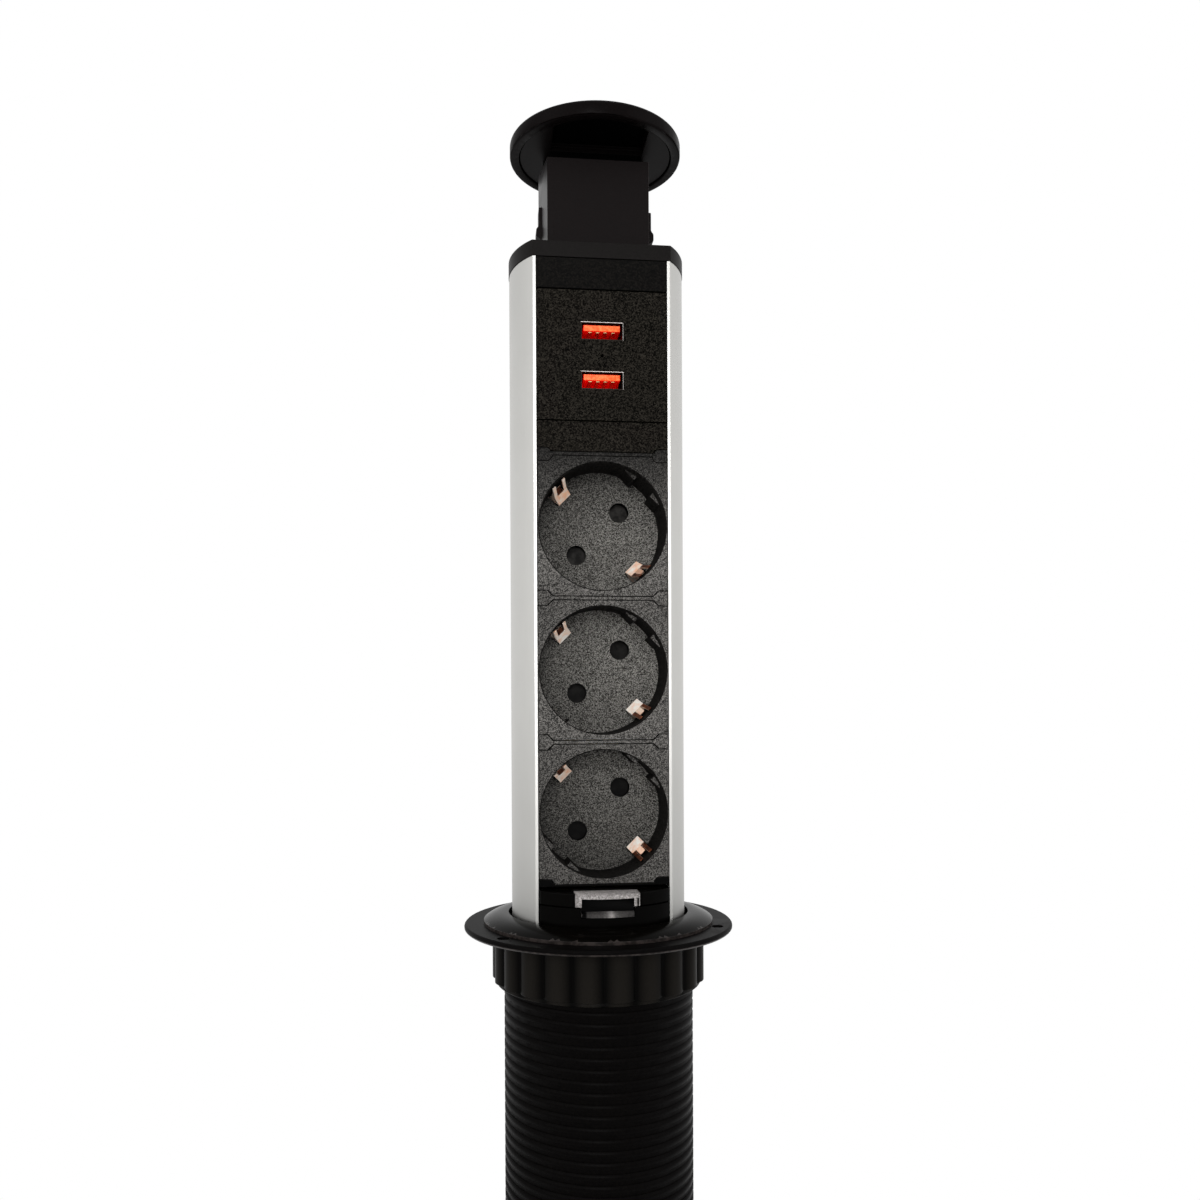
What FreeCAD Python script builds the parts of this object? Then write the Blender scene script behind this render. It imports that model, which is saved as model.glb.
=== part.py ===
"""Pop-up worktop socket tower: three earthed sockets and two charging ports.

Frame: the origin is the centre of the worktop seat, under the flange.  +Z runs up the
tower, and the flat front with the sockets faces -Y.  All lengths are millimetres.
"""
import FreeCAD
import Part
import Sketcher
import math
import os

SIZES = {
    # Standard sizes that the rest follows
    "recess_radius": 19.1,
    "pin_spacing": 19.0,
    # Round body of the tower and its flat front
    "front_plane": 17.6,
    "slot_margin": 0.6,
    "lip_width": 0.905,
    "shell_wall": 1.4,
    "shell_below_seat": 36.0,
    "port_radius": 2.4,
    "port_hole": 1.5,
    "port_inset": 3.2,
    "port_side_angle": 12.0,
    # Stack of the front, from the bottom up
    "stack_bottom": 15.6,
    "module_margin": 2.4,
    "lower_spacer_height": 9.85,
    "usb_height": 39.05,
    "upper_spacer_height": 9.5,
    "panel_gap": 0.2,
    "panel_thickness": 3.2,
    "panel_side_clearance": 0.2,
    "rail_setback": 2.0,
    "rail_overhang": 0.8,
    "box_depth": 9.0,
    "box_wall": 1.6,
    # Strips with tabs between the socket modules
    "strip_half_height": 0.52,
    "tab_half_height": 2.2,
    "tab_width": 2.7,
    "upper_tab_height": 1.1,
    # Socket recess
    "recess_depth": 14.9,
    "recess_wall": 1.0,
    "recess_floor": 3.0,
    "recess_lead_in": 0.3,
    "pin_hole_radius": 3.05,
    "pin_line_angle": 45.0,
    "guide_half_span": 7.3,
    "guide_half_gap": 3.4,
    "guide_rise": 1.7,
    "guide_edge_bury": 0.6,
    "guide_setback": 3.5,
    "peg_radius": 1.5,
    # Shutter behind each recess floor
    "shutter_gap": 0.3,
    "shutter_thickness": 1.6,
    "shutter_hub": 4.4,
    "shutter_margin": 0.45,
    "shutter_wing_angle": 50.0,
    "shutter_bore_clearance": 0.06,
    "shutter_pocket_clearance": 0.6,
    "spring_bore": 2.0,
    "spring_ring": 3.0,
    "spring_height": 1.2,
    # Contacts and their carrier
    "carrier_side_step": 2.1,
    "carrier_end_step": 0.3,
    "carrier_corner_step": 1.5,
    "contact_outer": 3.4,
    "contact_inner": 2.55,
    "contact_setback": 3.9,
    "contact_slit": 0.9,
    "contact_clearance": 0.2,
    "rivet_radius": 1.2,
    "bow_width": 5.0,
    "bow_thickness": 0.6,
    "bow_wall_gap": 0.5,
    "bow_bulge": 3.85,
    "bow_crest_depth": 13.6,
    "bow_knee_bulge": 1.65,
    "bow_knee_depth": 10.4,
    "bow_tip_depth": 2.4,
    "bow_bend_depth": 17.4,
    "bow_notch_width": 2.6,
    "bow_tongue_width": 2.0,
    "bow_tongue_rise": 2.5,
    "bow_slot_clearance": 0.3,
    "bar_width": 5.0,
    "bar_thickness": 0.8,
    "bar_air_gap": 1.2,
    "bar_clearance": 1.5,
    "earth_bar_width": 4.0,
    "bar_bottom": -28.0,
    "bar_top_reach": 14.0,
    # Charging ports
    "port_pitch": 14.7,
    "port_upper_drop": 12.2,
    "window_width": 12.9,
    "window_height": 5.5,
    "port_shell_wall": 0.3,
    "port_shell_clearance": 0.05,
    "port_setback": 0.15,
    "port_depth": 13.8,
    "tongue_width": 11.1,
    "tongue_thickness": 1.9,
    "tongue_setback": 0.9,
    "tongue_root": 4.0,
    "tongue_drop": 0.35,
    "gold_width": 1.0,
    "gold_thickness": 0.25,
    "gold_pitch": 2.3,
    "gold_length": 6.5,
    "board_width": 34.0,
    "board_height": 35.0,
    "board_thickness": 1.6,
    "post_radius": 1.6,
    "post_inset": 2.6,
    "transformer_width": 17.0,
    "transformer_height": 15.0,
    "transformer_depth": 13.0,
    "capacitor_radius": 4.0,
    "capacitor_length": 14.0,
    "reset_hole_radius": 0.5,
    # Top plate, neck and cap
    "plate_overhang": 0.15,
    "plate_thickness": 4.7,
    "neck_front": 9.1,
    "neck_front_half": 15.65,
    "neck_side": 4.0,
    "neck_side_half": 17.6,
    "neck_back": 13.5,
    "neck_height": 29.1,
    "neck_wall": 2.2,
    "collar_height": 4.5,
    "collar_inset": 1.5,
    "collar_setback": 5.0,
    "cap_inset": 0.4,
    "cap_rim_height": 4.5,
    "cap_crown": 0.8,
    "cap_edge_radius": 1.2,
    "cap_lip_width": 2.8,
    "cap_recess": 1.9,
    "cap_base_gap": 0.35,
    "cap_base_thickness": 1.3,
    "cap_window_half": 14.2,
    "cap_window_margin": 0.8,
    "cap_hollow_depth": 1.2,
    "clip_width": 5.0,
    "clip_height": 17.8,
    "clip_thickness": 1.5,
    "clip_proud": 1.0,
    "clip_clearance": 0.2,
    # Base with the release button
    "base_top": 14.8,
    "base_seam": 10.5,
    "base_depth": 19.8,
    "base_seam_gap": 0.15,
    "button_half_width": 9.5,
    "button_top": 14.6,
    "button_nose_bottom": 7.9,
    "button_nose_half": 7.7,
    "button_proud": 0.2,
    "button_depth": 7.5,
    "button_travel": 2.5,
    "button_clearance": 0.25,
    "button_window_half": 7.7,
    "button_window_top": 13.3,
    "button_window_bottom": 9.5,
    "button_window_depth": 2.4,
    "button_stem_half": 3.0,
    "button_stem_length": 3.4,
    "button_spring_radius": 2.1,
    "button_spring_wire": 0.4,
    "button_spring_turns": 4.0,
    "button_spring_length": 4.9,
    # Bottom of the tower
    "bottom_thickness": 3.0,
    "bottom_clearance": 0.1,
    "gland_thread_radius": 6.8,
    "gland_bore": 4.5,
    "gland_nose_radius": 8.2,
    "gland_nose_length": 14.0,
    "gland_inside": 3.0,
    "gland_clearance": 0.2,
    "terminal_width": 26.0,
    "terminal_depth": 10.0,
    "terminal_height": 13.0,
    "terminal_foot": 4.5,
    "terminal_screw_radius": 2.2,
    "terminal_pitch": 8.0,
    "screw_head_radius": 2.5,
    "screw_head_height": 1.5,
    "screw_shank_radius": 1.35,
    "screw_length": 10.0,
    "screw_clearance": 0.1,
    # Flange, barrel and nut
    "flange_width": 12.55,
    "flange_top": 1.9,
    "flange_underside": 0.5,
    "flange_edge": 0.5,
    "bore_gap": 1.1,
    "barrel_wall": 1.25,
    "barrel_length": 284.0,
    "seal_offset": 3.95,
    "seal_width": 2.3,
    "seal_thickness": 0.9,
    "seal_clearance": 0.1,
    "screw_offset": 8.55,
    "flange_screw_hole": 1.75,
    "flange_screw_angle": -53.0,
    "trim_width": 6.45,
    "trim_edge": 1.0,
    "trim_height": 3.2,
    "trim_flat": 0.5,
    "bush_inner_gap": 0.45,
    "bush_outer_gap": 0.05,
    "bush_top": -2.0,
    "bush_length": 18.0,
    "end_ring_thickness": 3.0,
    "end_ring_opening": 16.0,
    "end_spigot_height": 2.6,
    "end_spigot_wall": 1.6,
    "nut_clearance": 0.25,
    "nut_wall": 2.0,
    "lobe_height": 1.6,
    "nut_top": -0.5,
    "nut_height": 17.6,
    "nut_chamfer": 1.0,
    "nut_collar_height": 3.1,
    "lobe_radius": 7.0,
    "first_lobe_angle": 4.7,
    "grip_margin": 0.6,
    "grip_thickness": 1.5,
    "grip_proud": 0.6,
    "grip_clearance": 0.1,
}

SOCKETS = 3
NUT_LOBES = 22
PORTS = 2
FLANGE_SCREWS = 3

document = FreeCAD.newDocument("socket_tower")
sheet = document.addObject("Spreadsheet::Sheet", "sizes")
for row, (alias, number) in enumerate(SIZES.items(), start=1):
    sheet.set(f"A{row}", alias)
    sheet.set(f"B{row}", str(number))
    sheet.setAlias(f"B{row}", alias)
document.recompute()


class Size:
    """A number together with the formula that gives it from the sheet."""

    def __init__(self, value, text):
        self.value = float(value)
        self.text = text

    def __add__(self, other):
        other = as_size(other)
        return Size(self.value + other.value, f"({self.text} + {other.text})")

    def __sub__(self, other):
        other = as_size(other)
        return Size(self.value - other.value, f"({self.text} - {other.text})")

    def __mul__(self, other):
        other = as_size(other)
        return Size(self.value * other.value, f"({self.text} * {other.text})")

    def __truediv__(self, other):
        other = as_size(other)
        return Size(self.value / other.value, f"({self.text} / {other.text})")

    def __neg__(self):
        return Size(-self.value, f"(0 - {self.text})")

    def __radd__(self, other):
        return as_size(other) + self

    def __rsub__(self, other):
        return as_size(other) - self

    def __rmul__(self, other):
        return as_size(other) * self


def as_size(number):
    """Give a plain number the same form as a sheet value."""
    if isinstance(number, Size):
        return number
    return Size(number, f"({float(number):.6f})")


def root(size):
    """Square root."""
    return Size(math.sqrt(size.value), f"sqrt({size.text})")


def cosine(angle):
    """Cosine of an angle in degrees."""
    angle = as_size(angle)
    return Size(math.cos(math.radians(angle.value)), f"cos({angle.text} * 1deg)")


def sine(angle):
    """Sine of an angle in degrees."""
    angle = as_size(angle)
    return Size(math.sin(math.radians(angle.value)), f"sin({angle.text} * 1deg)")


class Sheet:
    """Reads a size of the sheet by its alias."""

    def __getattr__(self, alias):
        return Size(sheet.get(alias), f"sizes.{alias}")


s = Sheet()
derived = []
nodes = {}


def derive(alias, size):
    """Add a size that follows from others to the sheet, as a formula."""
    derived.append(alias)
    cell = f"B{len(SIZES) + len(derived)}"
    sheet.set(cell, "=" + size.text.replace("sizes.", ""))
    sheet.setAlias(cell, alias)
    document.recompute()


derive("slot_half_width", s.recess_radius + s.slot_margin)
derive("tower_radius", root((s.slot_half_width + s.lip_width) * (s.slot_half_width + s.lip_width)
                            + s.front_plane * s.front_plane))
derive("socket_height", 2 * (s.recess_radius + s.module_margin))
derive("shutter_reach", s.pin_spacing / 2 + s.pin_hole_radius + s.shutter_margin)
derive("bow_reach", s.recess_radius - s.bow_wall_gap)
derive("bow_crest", s.bow_reach - s.bow_bulge)
derive("floor_back", s.recess_depth + s.recess_floor)
derive("carrier_half_width", s.recess_radius - s.carrier_side_step)
derive("carrier_half_height", s.recess_radius + s.carrier_end_step)
derive("carrier_corner_cut", s.recess_radius - s.carrier_corner_step)
derive("bars_back", s.front_plane + s.tower_radius - s.port_inset - s.port_radius - s.bar_clearance)
derive("bars_front", s.bars_back - s.bar_thickness)
derive("bow_back", s.bars_front - s.bar_air_gap - s.bow_thickness)
derive("carrier_back", s.bow_back - s.contact_clearance)
derive("base_back", s.tower_radius - s.base_depth)
derive("button_back", s.tower_radius - s.button_depth)
derive("plate_radius", s.tower_radius + s.plate_overhang)
derive("cap_radius", s.tower_radius - s.cap_inset)
derive("barrel_bore", s.tower_radius + s.bore_gap)
derive("barrel_radius", s.barrel_bore + s.barrel_wall)
derive("flange_radius", s.barrel_radius + s.flange_width)
derive("screw_circle", s.barrel_radius + s.screw_offset)
derive("seal_inner", s.barrel_radius + s.seal_offset)
derive("seal_outer", s.seal_inner + s.seal_width)
derive("trim_radius", s.barrel_radius + s.trim_width)
derive("nut_bore", s.barrel_radius + s.nut_clearance)
derive("nut_base_radius", s.nut_bore + s.nut_wall)
derive("nut_radius", s.nut_base_radius + s.lobe_height)


def keep(item, name):
    """Register a finished sub-part under the name of its file."""
    item.Label = name
    nodes[name] = item
    return item


def bind(item, path, size):
    """Tie one property of an object to its formula."""
    item.setExpression(path, as_size(size).text)


def place(item, x=0, y=0, z=0, turn=None):
    """Put an object at a bound position, with an optional fixed turn."""
    position = [as_size(x), as_size(y), as_size(z)]
    vector = FreeCAD.Vector(*[p.value for p in position])
    item.Placement = FreeCAD.Placement(vector, turn or FreeCAD.Rotation())
    for letter, size in zip("xyz", position):
        if size.value != 0:
            bind(item, f"Placement.Base.{letter}", size)
    return item


# Turns that lay a primitive's own Z axis along Y or X
TOWARD_BACK = FreeCAD.Rotation(FreeCAD.Vector(1, 0, 0), -90)
TOWARD_FRONT = FreeCAD.Rotation(FreeCAD.Vector(1, 0, 0), 90)


# Part primitives and booleans

def block(name, low, high):
    """Box between two corners."""
    item = document.addObject("Part::Box", name)
    low = [as_size(v) for v in low]
    high = [as_size(v) for v in high]
    for path, a, b in zip(("Length", "Width", "Height"), low, high):
        setattr(item, path, (b - a).value)
        bind(item, path, b - a)
    return place(item, *low)


def rod(name, radius, length, x=0, y=0, z=0, turn=None):
    """Cylinder that starts at a point and runs up, or along its turn."""
    item = document.addObject("Part::Cylinder", name)
    for path, size in (("Radius", radius), ("Height", length)):
        setattr(item, path, as_size(size).value)
        bind(item, path, size)
    return place(item, x, y, z, turn)


def cone(name, radius_low, radius_high, length, x=0, y=0, z=0, turn=None):
    """Cone that starts at a point with its first radius."""
    item = document.addObject("Part::Cone", name)
    for path, size in (("Radius1", radius_low), ("Radius2", radius_high), ("Height", length)):
        setattr(item, path, as_size(size).value)
        bind(item, path, size)
    return place(item, x, y, z, turn)


def cut(name, base, *tools):
    """Take one or more tools away from a base."""
    item = document.addObject("Part::Cut", name)
    item.Base = base
    item.Tool = tools[0] if len(tools) == 1 else fuse(f"{name}_tools", *tools)
    return item


def fuse(name, *pieces):
    """Join pieces to one solid."""
    item = document.addObject("Part::MultiFuse", name)
    item.Shapes = list(pieces)
    item.Refine = True
    return item


def common(name, base, tool):
    """Keep what two solids share."""
    item = document.addObject("Part::Common", name)
    item.Base = base
    item.Tool = tool
    return item


def group(name, *pieces):
    """Hold several separate solids in one sub-part."""
    item = document.addObject("Part::Compound", name)
    item.Links = list(pieces)
    return item


# Bodies with sketches and features

def new_body(name, x=0, y=0, z=0, turn=None):
    """Start a body at its place."""
    body = document.addObject("PartDesign::Body", name)
    return place(body, x, y, z, turn)


def draw(body, name, role, offset=0):
    """Start a sketch on one of the body's own origin planes."""
    sketch = body.newObject("Sketcher::SketchObject", name)
    plane = [item for item in body.Origin.OriginFeatures if item.Role == role][0]
    sketch.AttachmentSupport = [(plane, "")]
    sketch.MapMode = "FlatFace"
    offset = as_size(offset)
    sketch.AttachmentOffset = FreeCAD.Placement(FreeCAD.Vector(0, 0, offset.value), FreeCAD.Rotation())
    if offset.value != 0:
        bind(sketch, "AttachmentOffset.Base.z", offset)
    return sketch


def measure(sketch, kind, value, *ends):
    """Add one driving dimension to a sketch."""
    index = sketch.addConstraint(Sketcher.Constraint(kind, *ends, value.value))
    sketch.setExpression(f"Constraints[{index}]", value.text)


def locate(sketch, geometry, end, x, y, held="xy"):
    """Hold a point of a sketch at its coordinates."""
    for letter, kind, axis, size in (("x", "DistanceX", -2, x), ("y", "DistanceY", -1, y)):
        if letter not in held:
            continue
        size = as_size(size)
        if size.value == 0:
            sketch.addConstraint(Sketcher.Constraint("PointOnObject", geometry, end, axis))
        else:
            measure(sketch, kind, size, -1, 1, geometry, end)


def outline(sketch, points, arcs=None):
    """Draw a closed outline of lines and arcs.

    A point is (x, y) or (x, y, held); an arc's end holds only one coordinate, because the
    arc's radius gives the other.  arcs maps the number of an edge to (cx, cy, radius, ccw).
    """
    arcs = arcs or {}
    count = len(points)
    first = sketch.GeometryCount
    spots = [FreeCAD.Vector(as_size(p[0]).value, as_size(p[1]).value, 0) for p in points]
    heads = []
    for i in range(count):
        start, end = spots[i], spots[(i + 1) % count]
        if i not in arcs:
            sketch.addGeometry(Part.LineSegment(start, end), False)
            heads.append(1)
            continue
        cx, cy, radius, ccw = arcs[i]
        centre = FreeCAD.Vector(as_size(cx).value, as_size(cy).value, 0)
        if not ccw:
            start, end = end, start
        angles = [math.atan2(p.y - centre.y, p.x - centre.x) for p in (start, end)]
        circle = Part.Circle(centre, FreeCAD.Vector(0, 0, 1), as_size(radius).value)
        sketch.addGeometry(Part.ArcOfCircle(circle, *angles), False)
        heads.append(1 if ccw else 2)
        locate(sketch, first + i, 3, cx, cy)
        measure(sketch, "Radius", as_size(radius), first + i)
    for i in range(count):
        after = (i + 1) % count
        sketch.addConstraint(Sketcher.Constraint(
            "Coincident", first + i, 3 - heads[i], first + after, heads[after]))
        held = points[i][2] if len(points[i]) > 2 else "xy"
        locate(sketch, first + i, heads[i], points[i][0], points[i][1], held)


def ring(sketch, radius, x=0, y=0):
    """Draw a circle."""
    x, y, radius = as_size(x), as_size(y), as_size(radius)
    circle = Part.Circle(FreeCAD.Vector(x.value, y.value, 0), FreeCAD.Vector(0, 0, 1), radius.value)
    index = sketch.addGeometry(circle, False)
    locate(sketch, index, 3, x, y)
    measure(sketch, "Radius", radius, index)


def rectangle(sketch, low, high):
    """Draw a rectangle between two corners."""
    outline(sketch, [(low[0], low[1]), (high[0], low[1]), (high[0], high[1]), (low[0], high[1])])


def feature(body, kind, name, sketch, reverse=False, length=None):
    """Add a pad or a pocket from a sketch."""
    item = body.newObject(f"PartDesign::{kind}", name)
    item.Profile = sketch
    item.Reversed = reverse
    item.Type = 0
    item.Length = as_size(length).value
    bind(item, "Length", length)
    return item


def pad(body, name, sketch, length, reverse=False):
    """Raise a sketch."""
    return feature(body, "Pad", name, sketch, reverse, length)


def pocket(body, name, sketch, length, reverse=False):
    """Sink a sketch and make sure that it takes material away."""
    document.recompute()
    before = body.Shape.Volume
    item = feature(body, "Pocket", name, sketch, reverse, length)
    document.recompute()
    if body.Shape.Volume > before - 1e-6:
        raise ValueError(f"{name} of {body.Name} takes nothing away")
    return item


def revolve(body, name, sketch, kind="Revolution"):
    """Turn a profile about the sketch's upright axis."""
    item = body.newObject(f"PartDesign::{kind}", name)
    item.Profile = sketch
    item.ReferenceAxis = (sketch, ["V_Axis"])
    item.Angle = 360
    return item


def repeat_round(body, name, original, sketch, count):
    """Repeat a feature around the sketch's normal."""
    item = body.newObject("PartDesign::PolarPattern", name)
    item.Originals = [original]
    item.Axis = (sketch, ["N_Axis"])
    item.Angle = 360
    item.Occurrences = count
    body.Tip = item
    return item


# Places that several pieces share
front = -s.front_plane
shell_inner = s.tower_radius - s.shell_wall
stack_top = (s.stack_bottom + s.socket_height * SOCKETS + s.lower_spacer_height
             + s.usb_height + s.upper_spacer_height)
usb_bottom = s.stack_bottom + s.socket_height * SOCKETS + s.lower_spacer_height
usb_top = usb_bottom + s.usb_height
panel_half = s.slot_half_width - s.panel_side_clearance
rail_half = panel_half + s.rail_overhang
plate_top = stack_top + s.plate_thickness
pin_offset = s.pin_spacing / 2 * cosine(s.pin_line_angle)
pin_rise = s.pin_spacing / 2 * sine(s.pin_line_angle)
shell_bottom = -s.shell_below_seat
bottom_low = shell_bottom - s.bottom_thickness
spring_front = s.floor_back + s.shutter_gap * 2 + s.shutter_thickness
shutter_pocket = spring_front - s.floor_back + s.spring_height + s.panel_gap
pocket_radius = s.shutter_reach + s.shutter_pocket_clearance


def socket_centre(index):
    """Height of a socket's centre; socket 1 is the top one."""
    return s.stack_bottom + s.socket_height * (SOCKETS - index) + s.socket_height / 2


def port_height(index):
    """Height of a charging port's centre; port 1 is the upper one."""
    return usb_top - s.port_upper_drop - s.port_pitch * (index - 1)


# Screw ports of the extrusion: one at the back and one on each side

def screw_places():
    """Give the places of the three screw ports."""
    reach = s.tower_radius - s.port_inset
    side_x = reach * cosine(s.port_side_angle)
    side_y = reach * sine(s.port_side_angle)
    return [(side_x, side_y), (-side_x, side_y), (as_size(0), reach)]


def tower_shell():
    """Extruded C profile with front lips and screw ports."""
    body = new_body("tower_shell_body", z=shell_bottom)
    height = stack_top - shell_bottom
    profile = draw(body, "profile", "XY_Plane")
    corner = root(s.tower_radius * s.tower_radius - s.front_plane * s.front_plane)
    lip_depth = root(shell_inner * shell_inner - s.slot_half_width * s.slot_half_width)
    outline(profile, [
        (corner, front, "y"),
        (-corner, front, "y"),
        (-s.slot_half_width, front),
        (-s.slot_half_width, -lip_depth, "x"),
        (s.slot_half_width, -lip_depth, "x"),
        (s.slot_half_width, front),
    ], {0: (0, 0, s.tower_radius, True), 3: (0, 0, shell_inner, False)})
    pad(body, "wall", profile, height)
    bosses = draw(body, "bosses", "XY_Plane")
    for x, y in screw_places():
        ring(bosses, s.port_radius, x, y)
    pad(body, "ports", bosses, height)
    holes = draw(body, "holes", "XY_Plane")
    for x, y in screw_places():
        ring(holes, s.port_hole, x, y)
    pocket(body, "port_holes", holes, height, reverse=True)
    keep(body, "tower_shell")


def plain_edge(level, side):
    """Straight edge of a plate: the lower one runs to the right, the upper one to the left."""
    points = [(-panel_half, level), (panel_half, level)]
    return (points if side < 0 else points[::-1]), {}


def tab_edge(level, side, height, rounded=False):
    """Edge of a strip that widens to a tab at each end."""
    far = panel_half - s.tab_width
    wide = level + side * height
    ends = ("x", "y") if rounded else ("xy", "xy")
    points = [(-panel_half, wide), (-far, wide, ends[0]), (-(far - height), level, ends[1]),
              (far - height, level, ends[1]), (far, wide, ends[0]), (panel_half, wide)]
    arcs = {1: (side * far, level, height, True), 3: (-side * far, level, height, True)}
    return (points if side < 0 else points[::-1]), (arcs if rounded else {})


def notched_edge(level, side, height, rounded=False):
    """Edge of a plate that leaves room at both corners for the tabs of a strip."""
    far = panel_half - s.tab_width
    cut_level = level - side * height
    if rounded:
        radius = height + s.panel_gap
        neck = far - root(radius * radius - s.panel_gap * s.panel_gap)
        inner, ends = far, ("x", "y")
    else:
        inner, ends = far - s.panel_gap, ("xy", "xy")
        neck = inner - height
        radius = height
    points = [(-panel_half, cut_level), (-inner, cut_level, ends[0]), (-neck, level, ends[1]),
              (neck, level, ends[1]), (inner, cut_level, ends[0]), (panel_half, cut_level)]
    centre = level + side * s.panel_gap
    arcs = {1: (side * far, centre, radius, False), 3: (-side * far, centre, radius, False)}
    return (points if side < 0 else points[::-1]), (arcs if rounded else {})


def edged_face(sketch, lower, upper):
    """Draw a plate's outline from its lower and upper edges."""
    points, arcs = list(lower[0]), dict(lower[1])
    for number, arc in upper[1].items():
        arcs[number + len(points)] = arc
    outline(sketch, points + upper[0], arcs)


def side_rails(body, low, high):
    """Rails behind the lips at both sides of a module."""
    rails = draw(body, "rails", "XZ_Plane", -s.rail_setback)
    for side in (-1, 1):
        edges = sorted((side * (panel_half - s.rail_overhang), side * rail_half), key=lambda v: v.value)
        rectangle(rails, (edges[0], low), (edges[1], high))
    pad(body, "side_rails", rails, s.panel_thickness - s.rail_setback, reverse=True)


def spacer(name, bottom, height, tab_height=None):
    """Blank module that fills the slot above or below the charging panel."""
    body = new_body(f"{name}_body", y=front, z=bottom)
    low = s.panel_gap
    high = height - s.panel_gap
    lower = plain_edge(low, -1)
    rail_low = low
    if tab_height is not None:
        low = s.strip_half_height + s.panel_gap
        lower = notched_edge(low, -1, tab_height, rounded=True)
        rail_low = low + tab_height
    face = draw(body, "face", "XZ_Plane")
    edged_face(face, lower, plain_edge(high, 1))
    pad(body, "plate", face, s.panel_thickness, reverse=True)
    side_rails(body, rail_low, high)
    skirt = draw(body, "skirt", "XZ_Plane", -s.panel_thickness)
    half = panel_half - s.box_wall
    if tab_height is not None:
        half = half - s.tab_width
    rectangle(skirt, (-half, low), (half, high))
    rectangle(skirt, (-half + s.box_wall, low + s.box_wall), (half - s.box_wall, high - s.box_wall))
    pad(body, "skirt_walls", skirt, s.box_depth, reverse=True)
    keep(body, name)


def joint_bar(number, height, lower, upper, low, high):
    """Strip between two modules that widens to a tab at each end."""
    body = new_body(f"joint_bar_body_{number}", y=front, z=height)
    face = draw(body, "face", "XZ_Plane")
    edged_face(face, lower, upper)
    pad(body, "strip", face, s.panel_thickness, reverse=True)
    inner = panel_half - s.tab_width
    rails = draw(body, "rails", "XZ_Plane", -s.rail_setback)
    for side in (-1, 1):
        edges = sorted((side * inner, side * rail_half), key=lambda v: v.value)
        rectangle(rails, (edges[0], low), (edges[1], high))
    pad(body, "side_rails", rails, s.panel_thickness - s.rail_setback, reverse=True)
    keep(body, f"joint_bar_{number}")


def joint_bars():
    """Strips over, between and under the socket modules, numbered from the top."""
    thin = s.strip_half_height
    tab = s.tab_half_height - thin
    for number in range(1, SOCKETS + 2):
        first, last = number == 1, number > SOCKETS
        lower = tab_edge(-thin, -1, tab, rounded=first)
        upper = tab_edge(thin, 1, tab, rounded=last)
        low, high = -s.tab_half_height, s.tab_half_height
        if first:
            upper = tab_edge(thin, 1, s.upper_tab_height, rounded=True)
            high = thin + s.upper_tab_height
        if last:
            lower = plain_edge(as_size(0), -1)
            low = as_size(0)
        level = s.stack_bottom + s.socket_height * (SOCKETS + 1 - number)
        joint_bar(number, level, lower, upper, low, high)


def radial_patch(sketch, angle, corners):
    """Outline given by distances along and across a line from the centre at an angle."""
    c, d = cosine(angle), sine(angle)
    outline(sketch, [(a * c - b * d, a * d + b * c) for a, b in corners])


def radial_rectangle(sketch, angle, near, far, half_width):
    """Rectangle whose long axis points away from the centre at an angle."""
    radial_patch(sketch, angle, [
        (near, -half_width), (far, -half_width), (far, half_width), (near, half_width)])


def socket_module(index):
    """Front plate with the deep round recess, its guides, holes and slots."""
    body = new_body(f"socket_body_{index}", y=front, z=socket_centre(index))
    half = s.socket_height / 2 - s.strip_half_height - s.panel_gap
    tab = s.tab_half_height - s.strip_half_height
    face = draw(body, "face", "XZ_Plane")
    edged_face(face, notched_edge(-half, -1, tab, rounded=index == SOCKETS),
               notched_edge(half, 1, tab, rounded=index == 1))
    pad(body, "plate", face, s.panel_thickness, reverse=True)
    side_rails(body, -half + tab, half - tab)
    cup = draw(body, "cup", "XY_Plane")
    rectangle(cup, (0, s.rail_setback), (s.recess_radius + s.recess_wall, s.floor_back))
    revolve(body, "cup_wall", cup)
    recess = draw(body, "recess", "XY_Plane")
    lip = s.recess_radius + s.recess_lead_in
    outline(recess, [
        (0, -1), (lip, -1), (lip, 0), (s.recess_radius, s.recess_lead_in),
        (s.recess_radius, s.recess_depth), (0, s.recess_depth),
    ])
    revolve(body, "recess_cut", recess, "Groove")
    guide = draw(body, "guide", "XZ_Plane", -s.recess_depth)
    flat = s.recess_radius - s.guide_rise
    gap, span = s.guide_half_gap, s.guide_half_span
    wall_middle = s.recess_radius + s.recess_wall / 2
    bury = s.recess_radius - s.guide_edge_bury
    for side in (-1, 1):
        corners = [(flat, side * gap), (wall_middle, side * gap), (bury, side * span), (flat, side * span)]
        radial_patch(guide, s.pin_line_angle, corners)
    guide_pad = pad(body, "guide_flat", guide, s.recess_depth - s.guide_setback)
    repeat_round(body, "guide_flats", guide_pad, guide, 2)
    holes = draw(body, "pin_holes", "XZ_Plane", -s.recess_depth)
    for side in (-1, 1):
        ring(holes, s.pin_hole_radius, side * pin_offset, side * pin_rise)
    pocket(body, "pin_bores", holes, s.recess_floor)
    slots = draw(body, "clip_slots", "XZ_Plane", -s.recess_depth)
    clear = s.bow_slot_clearance
    for angle in (s.pin_line_angle + 90, s.pin_line_angle - 90):
        radial_rectangle(slots, angle, s.bow_crest, s.recess_radius, s.bow_width / 2 + clear)
    pocket(body, "clip_openings", slots, s.recess_floor)
    peg = draw(body, "peg", "XZ_Plane", -s.floor_back)
    ring(peg, s.peg_radius)
    pad(body, "shutter_peg", peg, shutter_pocket, reverse=True)
    keep(body, f"socket_{index}")


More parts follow.
